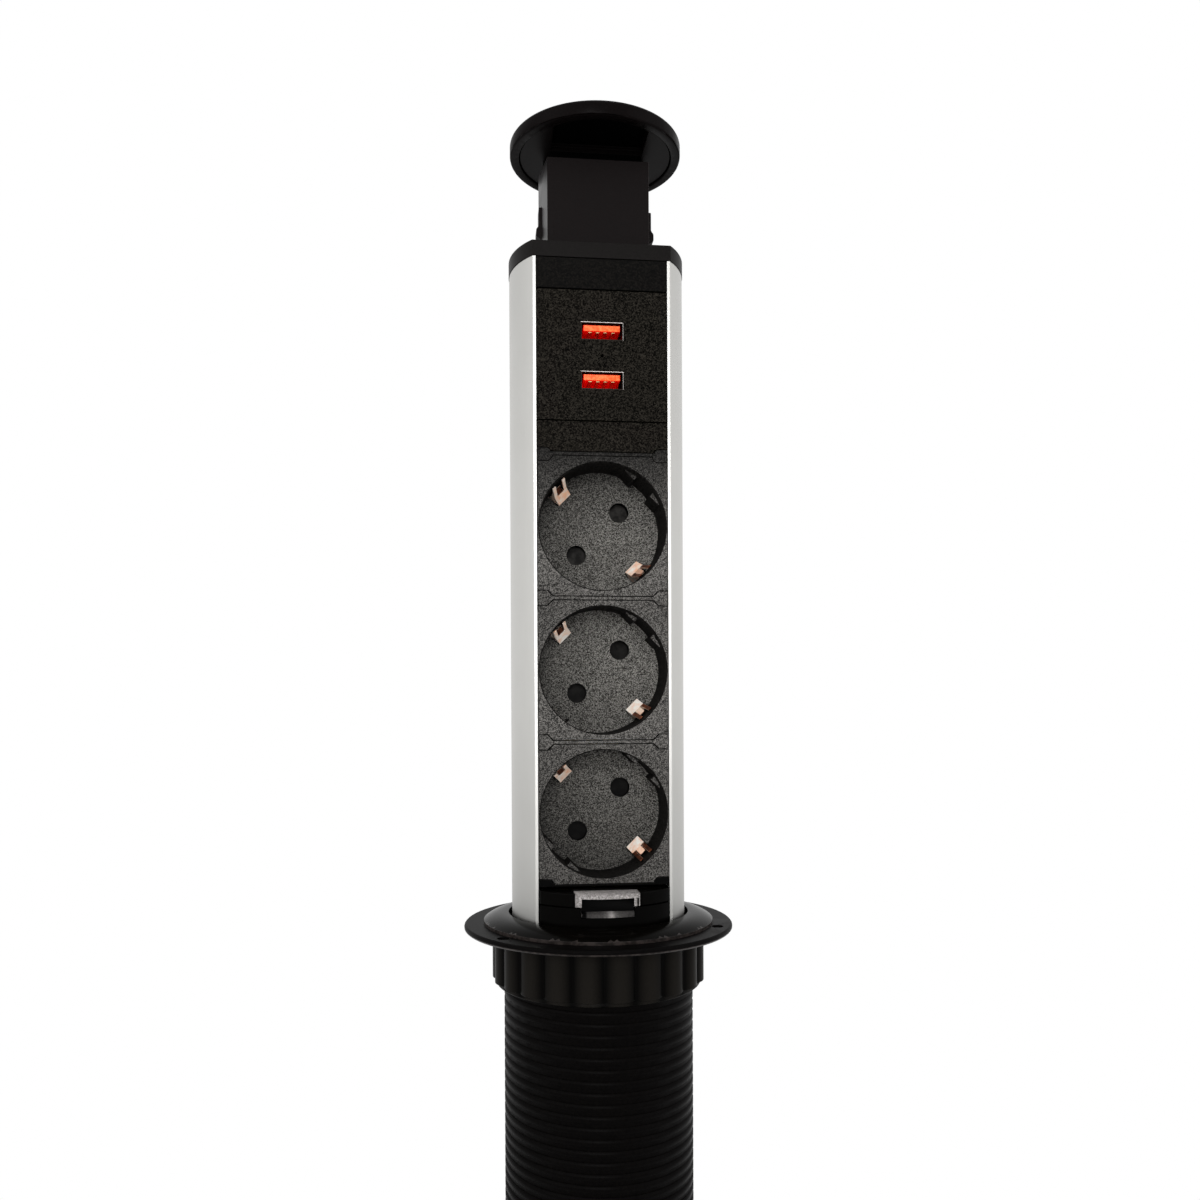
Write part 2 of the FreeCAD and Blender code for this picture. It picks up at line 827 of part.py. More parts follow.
def shutter(index):
    """Two-winged shutter that turns on the peg behind the recess floor."""
    body = new_body(f"shutter_body_{index}", y=front, z=socket_centre(index))
    level = -(s.floor_back + s.shutter_gap)
    hub = draw(body, "hub", "XZ_Plane", level)
    ring(hub, s.shutter_hub)
    pad(body, "hub_disc", hub, s.shutter_thickness, reverse=True)
    wing = draw(body, "wing", "XZ_Plane", level)
    low = s.pin_line_angle - s.shutter_wing_angle / 2
    high = s.pin_line_angle + s.shutter_wing_angle / 2
    reach = s.shutter_reach
    outline(wing, [
        (0, 0),
        (reach * cosine(low), reach * sine(low), "y"),
        (reach * cosine(high), reach * sine(high), "x"),
    ], {1: (0, 0, reach, True)})
    wing_pad = pad(body, "wing_plate", wing, s.shutter_thickness, reverse=True)
    repeat_round(body, "wings", wing_pad, wing, 2)
    bore = draw(body, "bore", "XZ_Plane", level)
    ring(bore, s.peg_radius + s.shutter_bore_clearance)
    pocket(body, "peg_bore", bore, s.shutter_thickness)
    keep(body, f"shutter_{index}")


def shutter_spring(index):
    """Flat coil round the peg that turns the shutter back."""
    level = spring_front
    outer = rod(f"spring_outer_{index}", s.spring_ring, s.spring_height, y=level, turn=TOWARD_BACK)
    inner = rod(f"spring_inner_{index}", s.spring_bore, s.spring_height, y=level, turn=TOWARD_BACK)
    coil = cut(f"spring_coil_{index}", outer, inner)
    leg = block(f"spring_leg_{index}", (s.spring_bore, level, -pocket_radius + s.spring_height),
                (s.spring_ring, level + s.spring_height, -s.spring_bore / 2))
    spring = fuse(f"spring_body_{index}", coil, leg)
    place(spring, y=front, z=socket_centre(index))
    keep(spring, f"shutter_spring_{index}")


def contact_carrier(index):
    """Rear insulator with a bore for each contact and a pocket for the shutter."""
    body = new_body(f"carrier_body_{index}", y=front, z=socket_centre(index))
    wide, tall = s.carrier_half_width, s.carrier_half_height
    reach = s.carrier_corner_cut * root(as_size(2))
    face = draw(body, "face", "XZ_Plane", -s.floor_back)
    outline(face, [
        (-wide, -tall), (reach - tall, -tall), (wide, wide - reach),
        (wide, tall), (tall - reach, tall), (-wide, reach - wide),
    ])
    pad(body, "block", face, s.carrier_back - s.floor_back, reverse=True)
    room = draw(body, "room", "XZ_Plane", -s.floor_back)
    ring(room, pocket_radius)
    pocket(body, "shutter_room", room, shutter_pocket)
    bores = draw(body, "bores", "XZ_Plane", -s.floor_back)
    for side in (-1, 1):
        ring(bores, s.contact_outer + s.contact_clearance, side * pin_offset, side * pin_rise)
    pocket(body, "contact_bores", bores, s.carrier_back - s.floor_back)
    keep(body, f"contact_carrier_{index}")


def pin_contacts(index):
    """Pair of slotted brass sleeves with a rivet to the bus bar."""
    sleeves = []
    start = s.floor_back + s.contact_setback
    length = s.carrier_back - start
    for side, word in ((-1, "left"), (1, "right")):
        x, z = side * pin_offset, side * pin_rise
        tag = f"{word}_{index}"
        outer = rod(f"sleeve_{tag}", s.contact_outer, length, x, start, z, TOWARD_BACK)
        inner = rod(f"sleeve_bore_{tag}", s.contact_inner, length - s.bar_thickness,
                    x, start, z, TOWARD_BACK)
        slit = block(f"sleeve_slit_{tag}",
                     (x - s.contact_outer, start, z - s.contact_slit / 2),
                     (x + s.contact_outer, start + length * 0.6, z + s.contact_slit / 2))
        rivet = rod(f"rivet_{tag}", s.rivet_radius, s.bars_front - s.carrier_back, x, s.carrier_back, z,
                    TOWARD_BACK)
        sleeves.append(fuse(f"contact_{tag}", cut(f"sleeve_cut_{tag}", outer, inner, slit), rivet))
    pair = group(f"contact_pair_{index}", *sleeves)
    place(pair, y=front, z=socket_centre(index))
    keep(pair, f"pin_contacts_{index}")


def earth_bow(index):
    """Bent strip that earths a plug at both sides of the recess."""
    turn = FreeCAD.Rotation(FreeCAD.Vector(0, 1, 0), -(SIZES["pin_line_angle"] + 90))
    body = new_body(f"earth_bow_body_{index}", y=front, z=socket_centre(index), turn=turn)
    half = s.bow_thickness / 2
    reach, crest = s.bow_reach, s.bow_crest
    knee = reach - s.bow_knee_bulge
    side = [
        (reach + half, s.bow_back + s.bow_thickness),
        (reach + half, s.bow_bend_depth),
        (crest + half, s.bow_crest_depth),
        (knee + half, s.bow_knee_depth),
        (reach, s.bow_tip_depth + half),
        (reach - half, s.bow_tip_depth),
        (knee - half, s.bow_knee_depth),
        (crest - half, s.bow_crest_depth),
        (reach - half, s.bow_bend_depth + half),
        (reach - half, s.bow_back),
    ]
    mirrored = [(-x, y) for x, y in reversed(side)]
    strip = draw(body, "strip", "XY_Plane", -s.bow_width / 2)
    outline(strip, side + mirrored)
    pad(body, "bent_strip", strip, s.bow_width)
    notch = draw(body, "notch", "XY_Plane", s.bow_notch_width / 2)
    for sign in (-1, 1):
        edges = sorted((sign * (knee - half), sign * (reach + 1)), key=lambda v: v.value)
        rectangle(notch, (edges[0], 0), (edges[1], s.bow_knee_depth + 2 * s.bow_thickness))
    pocket(body, "tip_notch", notch, s.bow_notch_width)
    tongue = draw(body, "tongue", "XY_Plane", -s.bow_tongue_width / 2)
    tip_depth = s.bow_knee_depth - s.bow_tongue_rise
    for sign in (-1, 1):
        outline(tongue, [
            (sign * (knee - half), s.bow_knee_depth), (sign * (reach - half), tip_depth),
            (sign * (reach - half), tip_depth + s.bow_thickness),
            (sign * (knee - half), s.bow_knee_depth + s.bow_thickness),
        ])
    pad(body, "bent_tongue", tongue, s.bow_tongue_width)
    keep(body, f"earth_bow_{index}")


def bus_bars():
    """Live, neutral and earth bars that run down the back of the contacts."""
    top = socket_centre(1) + s.bar_top_reach
    depth = front + s.bars_front
    for name, side in (("line_bar", 1), ("neutral_bar", -1)):
        centre = side * pin_offset
        bar = block(f"{name}_strip", (centre - s.bar_width / 2, depth, s.bar_bottom),
                    (centre + s.bar_width / 2, depth + s.bar_thickness, top))
        keep(bar, name)
    earth = front + s.bow_back + s.bow_thickness
    bar = block("earth_bar_strip", (-s.earth_bar_width / 2, earth, s.bar_bottom),
                (s.earth_bar_width / 2, earth + s.bar_thickness, top))
    keep(bar, "earth_bar")


def usb_group():
    """Charging module: panel, two ports, board and its parts."""
    middle = (port_height(1) + port_height(PORTS)) / 2
    body = new_body("usb_panel_body", y=front)
    windows = [(as_size(0), port_height(i), s.window_width / 2, s.window_height / 2)
               for i in range(1, PORTS + 1)]
    low, high = usb_bottom + s.panel_gap, usb_top - s.panel_gap
    face = draw(body, "face", "XZ_Plane")
    edged_face(face, plain_edge(low, -1), plain_edge(high, 1))
    for x, z, half_width, half_height in windows:
        rectangle(face, (x - half_width, z - half_height), (x + half_width, z + half_height))
    pad(body, "plate", face, s.panel_thickness, reverse=True)
    side_rails(body, low, high)
    board_front = s.port_setback + s.port_depth
    posts = draw(body, "posts", "XZ_Plane", -s.panel_thickness)
    centre = usb_bottom + s.usb_height / 2
    post_x = s.board_width / 2 - s.post_inset
    post_z = s.board_height / 2 - s.post_inset
    for a in (-1, 1):
        for b in (-1, 1):
            ring(posts, s.post_radius, a * post_x, centre + b * post_z)
    pad(body, "board_posts", posts, board_front - s.panel_thickness, reverse=True)
    pip = draw(body, "reset_hole", "XZ_Plane")
    ring(pip, s.reset_hole_radius, 0, middle)
    pocket(body, "reset_opening", pip, s.panel_thickness)
    keep(body, "usb_panel")
    golds = []
    for i in range(1, PORTS + 1):
        golds += usb_port(i)
    keep(group("gold_contacts", *golds), "usb_contacts")
    back = front + board_front
    board = block("board_plate", (-s.board_width / 2, back, centre - s.board_height / 2),
                  (s.board_width / 2, back + s.board_thickness, centre + s.board_height / 2))
    keep(board, "usb_board")
    face = back + s.board_thickness
    low = centre - s.board_height / 2 + s.post_inset
    transformer = block("transformer_block", (-s.transformer_width / 2, face, low),
                        (s.transformer_width / 2, face + s.transformer_depth, low + s.transformer_height))
    keep(transformer, "usb_transformer")
    high = centre + s.board_height / 2 - s.capacitor_radius - s.post_inset
    caps = [rod(f"capacitor_can_{word}", s.capacitor_radius, s.capacitor_length,
                side * s.board_width / 4, face, high, TOWARD_BACK)
            for side, word in ((-1, "left"), (1, "right"))]
    keep(group("capacitor_cans", *caps), "usb_capacitors")


def usb_port(index):
    """Shell and tongue of one port; gives its gold contacts."""
    z = port_height(index)
    near = front + s.port_setback
    far = near + s.port_depth
    half_w = s.window_width / 2 - s.port_shell_clearance
    half_h = s.window_height / 2 - s.port_shell_clearance
    wall = s.port_shell_wall
    outer = block(f"port_outer_{index}", (-half_w, near, z - half_h), (half_w, far, z + half_h))
    inner = block(f"port_inner_{index}", (-half_w + wall, near, z - half_h + wall),
                  (half_w - wall, far - wall, z + half_h - wall))
    keep(cut(f"port_shell_{index}", outer, inner), f"usb_port_{index}")
    gap = s.port_shell_clearance
    root_block = block(
        f"tongue_root_{index}",
        (-half_w + wall + gap, far - wall - s.tongue_root, z - half_h + wall + gap),
        (half_w - wall - gap, far - wall, z + half_h - wall - gap))
    top = z + half_h - wall - s.tongue_drop
    low = top - s.tongue_thickness
    tongue = block(f"tongue_blade_{index}",
                   (-s.tongue_width / 2, near + s.tongue_setback, low),
                   (s.tongue_width / 2, far - wall - s.tongue_root / 2, top))
    keep(fuse(f"tongue_{index}", root_block, tongue), f"usb_tongue_{index}")
    golds = []
    start = near + s.tongue_setback + s.gold_width / 2
    for k in range(4):
        centre = s.gold_pitch * (k - 1.5)
        golds.append(block(f"gold_{index}_{k + 1}",
                           (centre - s.gold_width / 2, start, low - s.gold_thickness),
                           (centre + s.gold_width / 2, start + s.gold_length, low)))
    return golds


def top_plate():
    """Plate that closes the top of the shell, with three countersunk holes."""
    disc = rod("plate_disc", s.plate_radius, s.plate_thickness, z=stack_top)
    trim = block("plate_front_cut", (-s.plate_radius, -s.plate_radius - 1, stack_top - 1),
                 (s.plate_radius, front, plate_top + 1))
    tools = [trim] + screw_sinks("plate", stack_top, plate_top)
    keep(cut("plate_body", disc, *tools), "top_plate")
    keep(screws("plate_screw", plate_top, -1), "plate_screws")


def screw_sinks(word, low, high):
    """Tools for through holes with a countersink at the upper face."""
    tools = []
    radius = s.screw_shank_radius + s.screw_clearance
    head = s.screw_head_radius + s.screw_clearance
    for k, (x, y) in enumerate(screw_places()):
        tools.append(rod(f"{word}_hole_{k}", radius, high - low + 2, x, y, low - 1))
        tools.append(cone(f"{word}_sink_{k}", radius, head, s.screw_head_height + s.screw_clearance,
                          x, y, high - s.screw_head_height - s.screw_clearance))
    return tools


def screws(word, level, direction):
    """Three countersunk screws whose heads end at a level."""
    pieces = []
    upright = FreeCAD.Rotation() if direction < 0 else FreeCAD.Rotation(FreeCAD.Vector(1, 0, 0), 180)
    for k, (x, y) in enumerate(screw_places()):
        start = level + direction * s.screw_head_height
        head = cone(f"{word}_head_{k}", s.screw_shank_radius, s.screw_head_radius,
                    s.screw_head_height, x, y, start, upright)
        end = start + direction * s.screw_length
        shank = rod(f"{word}_shank_{k}", s.screw_shank_radius, s.screw_length, x, y, end, upright)
        pieces.append(fuse(f"{word}_{k}", head, shank))
    return group(f"{word}_set", *pieces)


def neck_outline(sketch, inset, setback):
    """Trapezoid with a flat front, flared sides and a rounded back."""
    front_y = -s.neck_front + setback
    front_x = s.neck_front_half - inset
    side_x = s.neck_side_half - inset
    side_y = s.neck_side
    back_y = s.neck_back - inset
    rise = back_y - side_y
    radius = (side_x * side_x + rise * rise) / (2 * rise)
    outline(sketch, [
        (-front_x, front_y), (front_x, front_y), (side_x, side_y, "y"), (-side_x, side_y, "y"),
    ], {2: (0, back_y - radius, radius, True)})


def neck():
    """Hollow neck under the cap, with a slot for each side clip."""
    body = new_body("neck_body", z=plate_top)
    wall = draw(body, "wall", "XY_Plane")
    neck_outline(wall, as_size(0), as_size(0))
    pad(body, "sleeve", wall, s.neck_height)
    collar = draw(body, "collar", "XY_Plane", s.neck_height)
    neck_outline(collar, s.collar_inset, s.collar_setback)
    pad(body, "collar_step", collar, s.collar_height)
    hollow = draw(body, "hollow", "XY_Plane")
    neck_outline(hollow, s.neck_wall, s.neck_wall)
    pocket(body, "hollow_core", hollow, s.neck_height - s.neck_wall, reverse=True)
    slot = draw(body, "slot", "XZ_Plane", s.clip_width / 2 + s.clip_clearance - s.neck_side / 2)
    for side in (-1, 1):
        near = side * (s.neck_side_half - s.neck_wall - 1)
        far = side * (s.neck_side_half + 1)
        edges = sorted((near, far), key=lambda v: v.value)
        rectangle(slot, (edges[0], -1), (edges[1], s.clip_height + s.clip_clearance))
    pocket(body, "clip_slots", slot, s.clip_width + 2 * s.clip_clearance)
    keep(body, "neck")


def neck_clip(word, side):
    """Snap clip that holds the neck down on the plate."""
    body = new_body(f"neck_clip_{word}_body", z=plate_top)
    outer = s.neck_side_half - s.clip_clearance
    inner = outer - s.clip_thickness
    proud = s.neck_side_half + s.clip_proud
    slim = s.neck_side_half + s.clip_clearance
    shape = [
        (inner, 0), (outer, 0), (outer, s.clip_height * 0.46), (proud, s.clip_height * 0.5),
        (proud, s.clip_height * 0.62), (slim, s.clip_height * 0.68), (slim, s.clip_height),
        (inner, s.clip_height),
    ]
    if side < 0:
        shape = [(-x, z) for x, z in reversed(shape)]
    profile = draw(body, "profile", "XZ_Plane", s.clip_width / 2 - s.neck_side / 2)
    outline(profile, shape)
    pad(body, "tongue", profile, s.clip_width, reverse=True)
    keep(body, f"neck_clip_{word}")


def cap_window(sketch):
    """Opening in the cap's underside in front of the neck, with a round front."""
    radius = s.cap_radius - s.cap_lip_width - s.cap_base_gap - s.cap_window_margin
    half = s.cap_window_half
    back = -(s.neck_front - s.collar_setback)
    side = -root(radius * radius - half * half)
    outline(sketch, [(-half, side, "x"), (half, side, "x"), (half, back), (-half, back)],
            {0: (0, 0, radius, True)})


def cap():
    """Round cap with a rim, a shallow crown and a recessed underside."""
    low = plate_top + s.neck_height + s.collar_height - s.cap_recess + s.cap_base_thickness
    body = new_body("cap_body", z=low)
    radius, edge = s.cap_radius, s.cap_edge_radius
    lip = radius - s.cap_lip_width
    profile = draw(body, "profile", "XZ_Plane")
    outline(profile, [
        (0, s.cap_recess), (lip, s.cap_recess), (lip, 0), (radius - edge / 3, 0),
        (radius, edge / 3), (radius, s.cap_rim_height - edge, "y"),
        (radius - edge, s.cap_rim_height, "x"), (0, s.cap_rim_height + s.cap_crown),
    ], {5: (radius - edge, s.cap_rim_height - edge, edge, True)})
    revolve(body, "disc", profile)
    hollow = draw(body, "hollow", "XY_Plane", s.cap_recess)
    cap_window(hollow)
    pocket(body, "hollow_pocket", hollow, s.cap_hollow_depth, reverse=True)
    keep(body, "cap")
    base = new_body("cap_base_body", z=low + s.cap_recess - s.cap_base_thickness)
    disc = draw(base, "disc", "XY_Plane")
    ring(disc, lip - s.cap_base_gap)
    cap_window(disc)
    pad(base, "plate", disc, s.cap_base_thickness)
    keep(base, "cap_base")


def base_parts():
    """Round base under the sockets: lower housing and upper collar."""
    radius = s.tower_radius - s.bottom_clearance
    width = panel_half
    lower = common(
        "base_lower_round",
        rod("base_lower_rod", radius, s.base_seam - shell_bottom, z=shell_bottom),
        block("base_lower_block", (-width, -radius - 1, shell_bottom), (width, -s.base_back, s.base_seam)))
    upper = common(
        "base_upper_round",
        rod("base_upper_rod", radius, s.base_top - s.base_seam - s.base_seam_gap,
            z=s.base_seam + s.base_seam_gap),
        block("base_upper_block", (-width, -radius - 1, s.base_seam),
              (width, -s.base_back, s.base_top + 1)))
    gap = s.button_clearance
    back = -s.button_back + s.button_travel + gap
    stem_back = -s.button_back + s.button_stem_length
    nose = block("nose_room", (-s.button_nose_half - gap, -radius - 2, s.button_nose_bottom - gap),
                 (s.button_nose_half + gap, back, s.base_seam + 1))
    spring_end = stem_back + s.button_travel + gap + s.button_spring_length
    stem_room = block(
        "stem_room",
        (-s.button_stem_half - gap, back - 1, s.button_nose_bottom - gap),
        (s.button_stem_half + gap, spring_end, s.base_seam + 1))
    inner_low = shell_bottom + s.box_wall
    hollow = block("base_hollow", (-width + s.box_wall, -s.front_plane, inner_low - s.box_wall - 1),
                   (width - s.box_wall, -s.base_back - s.box_wall, s.button_nose_bottom - 3 * s.box_wall))
    keep(cut("base_lower_cut", lower, nose, stem_room, hollow), "base_housing")
    button_room = block(
        "button_room", (-s.button_half_width - gap, -radius - 2, s.base_seam - 1),
        (s.button_half_width + gap, back, s.base_top + 2))
    stem_upper = block(
        "stem_room_upper", (-s.button_stem_half - gap, back - 1, s.base_seam - 1),
        (s.button_stem_half + gap, spring_end, s.base_seam + s.base_seam_gap + s.button_stem_half))
    keep(cut("base_upper_cut", upper, button_room, stem_upper), "base_collar")


def release_button():
    """Push button with a window and a sloped nose, round like the base."""
    radius = s.tower_radius + s.button_proud
    gap = s.button_clearance
    top, seam = s.button_top, s.base_seam + s.base_seam_gap + gap
    wide = block("button_head", (-s.button_half_width, -radius - 1, seam),
                 (s.button_half_width, -s.button_back, top))
    nose = block("button_nose", (-s.button_nose_half, -radius - 1, s.button_nose_bottom),
                 (s.button_nose_half, -s.button_back, top - 1))
    stem = block("button_stem", (-s.button_stem_half, -s.button_back - 1, s.button_nose_bottom),
                 (s.button_stem_half, -s.button_back + s.button_stem_length, seam + s.button_stem_half - 2 * gap))
    window = block("button_window", (-s.button_window_half, -radius - 2, s.button_window_bottom),
                   (s.button_window_half, -radius + s.button_window_depth, s.button_window_top))
    slope = new_body("button_slope_body")
    wedge = draw(slope, "wedge", "YZ_Plane", -s.button_window_half)
    outline(wedge, [
        (-radius - 1, s.button_window_bottom + 0.2),
        (-radius - 1, s.button_nose_bottom + 0.4),
        (-radius + s.button_window_depth, s.button_window_bottom + 0.2),
    ])
    pad(slope, "wedge_cut", wedge, 2 * s.button_window_half)
    solid = fuse("button_solid", wide, nose, stem)
    opened = cut("button_opened", solid, window, slope)
    rounding = rod("button_rounding", radius, top + 5, z=0)
    keep(common("button_round", opened, rounding), "release_button")


def button_spring():
    """Flat-wire coil spring that pushes the release button out."""
    radius, wire = SIZES["button_spring_radius"], SIZES["button_spring_wire"]
    rest = -s.button_back + s.button_stem_length + s.button_travel + s.button_clearance
    start = rest.value + wire
    length = SIZES["button_spring_length"] - 2 * wire
    pitch = length / SIZES["button_spring_turns"]
    coil = Part.makeHelix(pitch, length, radius)
    corners = [(radius - wire, -wire), (radius + wire, -wire), (radius + wire, wire),
               (radius - wire, wire), (radius - wire, -wire)]
    section = Part.makePolygon([FreeCAD.Vector(x, 0, z) for x, z in corners])
    solid = Part.Wire(coil.Edges).makePipeShell([section], True, True)
    item = document.addObject("Part::Feature", "button_spring_coil")
    item.Shape = solid
    middle = (s.button_nose_bottom + s.base_seam + s.button_stem_half) / 2
    item.Placement = FreeCAD.Placement(FreeCAD.Vector(0, start, middle.value), TOWARD_BACK)
    keep(item, "button_spring")


def bottom_group():
    """End plate of the tower with its screws, cable gland and terminal block."""
    radius = s.tower_radius - s.bottom_clearance
    plate = rod("bottom_disc", radius, s.bottom_thickness, z=bottom_low)
    hole = rod("gland_hole", s.gland_thread_radius + s.gland_clearance, s.bottom_thickness + 2,
               z=bottom_low - 1)
    tools = [hole]
    shank = s.screw_shank_radius + s.screw_clearance
    head = s.screw_head_radius + s.screw_clearance
    for k, (x, y) in enumerate(screw_places()):
        tools.append(rod(f"bottom_hole_{k}", shank, s.bottom_thickness + 2, x, y, bottom_low - 1))
        tools.append(cone(f"bottom_sink_{k}", head, shank, s.screw_head_height + s.screw_clearance,
                          x, y, bottom_low))
    keep(cut("bottom_body", plate, *tools), "bottom_plate")
    keep(screws("bottom_screw", bottom_low, 1), "bottom_screws")
    gland = new_body("gland_body", z=bottom_low)
    profile = draw(gland, "profile", "XZ_Plane")
    nose, length = s.gland_nose_radius, s.gland_nose_length
    outline(profile, [
        (s.gland_bore, -length), (nose - 1.8, -length), (nose, -length * 0.45), (nose, -0.2),
        (nose - 0.2, 0), (s.gland_thread_radius, 0),
        (s.gland_thread_radius, s.bottom_thickness + s.gland_inside),
        (s.gland_bore, s.bottom_thickness + s.gland_inside),
    ])
    revolve(gland, "sleeve", profile)
    keep(gland, "cable_gland")
    back = front + s.bow_back + s.bow_thickness
    low = shell_bottom + s.terminal_foot
    block_body = block("terminal_case", (-s.terminal_width / 2, back - s.terminal_depth, low),
                       (s.terminal_width / 2, back, low + s.terminal_height))
    foot = block("terminal_stand", (-s.terminal_pitch / 2, back - s.terminal_depth / 2, shell_bottom),
                 (s.terminal_pitch / 2, back, low))
    sinks, heads = [], []
    screw_level = low + s.terminal_height * 0.65
    for k in range(3):
        x = s.terminal_pitch * (k - 1)
        sinks.append(rod(f"terminal_well_{k}", s.terminal_screw_radius + s.gland_clearance, 3,
                         x, back - s.terminal_depth, screw_level, TOWARD_BACK))
        sinks.append(rod(f"terminal_wire_hole_{k}", s.terminal_screw_radius, s.terminal_height / 2,
                         x, back - s.terminal_depth / 2, low))
        heads.append(rod(f"terminal_screw_{k}", s.terminal_screw_radius, 2.2,
                         x, back - s.terminal_depth + 0.8, screw_level, TOWARD_BACK))
    keep(cut("terminal_body", fuse("terminal_solid", block_body, foot), *sinks), "terminal_block")
    keep(group("terminal_screw_set", *heads), "terminal_screws")


def barrel():
    """Threaded barrel with its flange; the thread is a plain cylinder at crest size."""
    body = new_body("barrel_body")
    profile = draw(body, "profile", "XZ_Plane")
    edge = s.flange_edge
    groove_in = s.seal_inner - s.seal_clearance
    groove_out = s.seal_outer + s.seal_clearance
    outline(profile, [
        (s.barrel_bore, s.flange_top), (s.barrel_bore, -s.barrel_length),
        (s.barrel_radius, -s.barrel_length), (s.barrel_radius, s.flange_underside),
        (groove_in, s.flange_underside), (groove_in, s.seal_thickness),
        (groove_out, s.seal_thickness), (groove_out, 0),
        (s.flange_radius - edge, 0), (s.flange_radius, edge),
        (s.flange_radius, s.flange_top - edge), (s.flange_radius - edge, s.flange_top),
    ])
    revolve(body, "turned_wall", profile)
    hole = draw(body, "screw_hole", "XY_Plane", s.flange_top)
    ring(hole, s.flange_screw_hole, s.screw_circle * sine(s.flange_screw_angle),
         -(s.screw_circle * cosine(s.flange_screw_angle)))
    first = pocket(body, "first_hole", hole, s.flange_top)
    repeat_round(body, "screw_holes", first, hole, FLANGE_SCREWS)
    keep(body, "threaded_barrel")


def barrel_fittings():
    """Trim ring, seal, guide bush and end ring of the barrel."""
    trim = new_body("trim_body", z=s.flange_top)
    profile = draw(trim, "profile", "XZ_Plane")
    start = s.barrel_bore + s.trim_flat
    run = s.trim_radius - start
    drop = s.trim_height - s.trim_edge
    radius = (run * run + drop * drop) / (2 * drop)
    outline(profile, [
        (s.barrel_bore, 0), (s.trim_radius, 0), (s.trim_radius, s.trim_edge, "x"),
        (start, s.trim_height, "x"), (s.barrel_bore, s.trim_height),
    ], {2: (start, s.trim_height - radius, radius, True)})
    revolve(trim, "dome", profile)
    keep(trim, "trim_ring")
    seal = cut("seal_cut", rod("seal_disc", s.seal_outer, s.seal_thickness),
               rod("seal_hole", s.seal_inner, s.seal_thickness))
    keep(seal, "seal_ring")
    bush = cut("bush_cut",
               rod("bush_outer", s.barrel_bore - s.bush_outer_gap, s.bush_length,
                   z=s.bush_top - s.bush_length),
               rod("bush_inner", s.tower_radius + s.bush_inner_gap, s.bush_length + 2,
                   z=s.bush_top - s.bush_length - 1))
    keep(bush, "guide_bush")
    end = new_body("end_ring_body", z=-s.barrel_length)
    ring_profile = draw(end, "profile", "XZ_Plane")
    spigot = s.barrel_bore - s.panel_gap
    outline(ring_profile, [
        (s.end_ring_opening, 0), (s.end_ring_opening, -s.end_ring_thickness),
        (s.barrel_radius, -s.end_ring_thickness), (s.barrel_radius, 0), (spigot, 0),
        (spigot, s.end_spigot_height), (spigot - s.end_spigot_wall, s.end_spigot_height),
        (spigot - s.end_spigot_wall, 0),
    ])
    revolve(end, "turned_ring", ring_profile)
    keep(end, "barrel_end_ring")


def clamp_nut():
    """Large hand nut with even lobes over a plain collar, and its grip ring."""
    bottom = s.nut_top - s.nut_height
    chamfer = s.nut_chamfer
    pieces = [
        rod("nut_base", s.nut_base_radius, s.nut_height - chamfer, z=bottom + chamfer),
        cone("nut_chamfer_cone", s.nut_base_radius - chamfer, s.nut_base_radius, chamfer, z=bottom),
    ]
    reach = s.nut_radius - s.lobe_radius
    for k in range(NUT_LOBES):
        angle = s.first_lobe_angle + k * 360.0 / NUT_LOBES
        pieces.append(rod(f"nut_lobe_{k}", s.lobe_radius, s.nut_height - s.nut_collar_height,
                          reach * sine(angle), -(reach * cosine(angle)),
                          bottom + s.nut_collar_height))
    shaped = fuse("nut_lobes", *pieces)
    bore = rod("nut_bore", s.nut_bore, s.nut_height + 2, z=bottom - 1)
    seat_depth = s.grip_thickness - s.grip_proud
    grip_inner = s.nut_bore + s.grip_margin
    grip_outer = s.nut_base_radius - s.grip_margin
    seat = cut("grip_seat",
               rod("grip_seat_outer", grip_outer + s.grip_clearance, seat_depth + 1,
                   z=s.nut_top - seat_depth),
               rod("grip_seat_inner", grip_inner - s.grip_clearance, seat_depth + 1,
                   z=s.nut_top - seat_depth))
    keep(cut("nut_body", shaped, bore, seat), "clamp_nut")
    lift = s.nut_top - seat_depth + s.grip_clearance
    grip = cut("grip_cut", rod("grip_disc", grip_outer, s.grip_thickness, z=lift),
               rod("grip_hole", grip_inner, s.grip_thickness, z=lift))
    keep(grip, "grip_ring")


def build_all():
    """Build every sub-part in the order of assembly."""
    barrel()
    barrel_fittings()
    clamp_nut()
    tower_shell()
    top_plate()
    neck()
    neck_clip("left", -1)
    neck_clip("right", 1)
    cap()
    spacer("upper_spacer", usb_top, s.upper_spacer_height)
    usb_group()
    spacer("lower_spacer", usb_bottom - s.lower_spacer_height, s.lower_spacer_height,
           s.upper_tab_height)
    for index in range(1, SOCKETS + 1):
        socket_module(index)
        earth_bow(index)
        contact_carrier(index)
        pin_contacts(index)
        shutter(index)
        shutter_spring(index)
    joint_bars()
    bus_bars()
    base_parts()
    release_button()
    button_spring()
    bottom_group()


def check_and_write():
    """Stop on a failed object, then write one file for each sub-part."""
    document.recompute()
    for item in document.Objects:
        if "Invalid" in item.State or "Error" in item.State:
            raise ValueError(f"{item.Name} failed: {item.State}")
    for name, item in nodes.items():
        if item.Shape.isNull() or not item.Shape.isValid() or not item.Shape.Solids:
            raise ValueError(f"{name} has no valid solid")
    os.makedirs("parts", exist_ok=True)
    for name, item in nodes.items():
        item.Shape.exportStep(f"parts/{name}.step")
    print(f"{len(nodes)} sub-parts written")


build_all()
check_and_write()
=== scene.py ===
import logging
import math
from dataclasses import dataclass, field
from enum import Enum
from typing import Callable, Sequence, Union

import bmesh
import bpy
from mathutils import Matrix, Vector


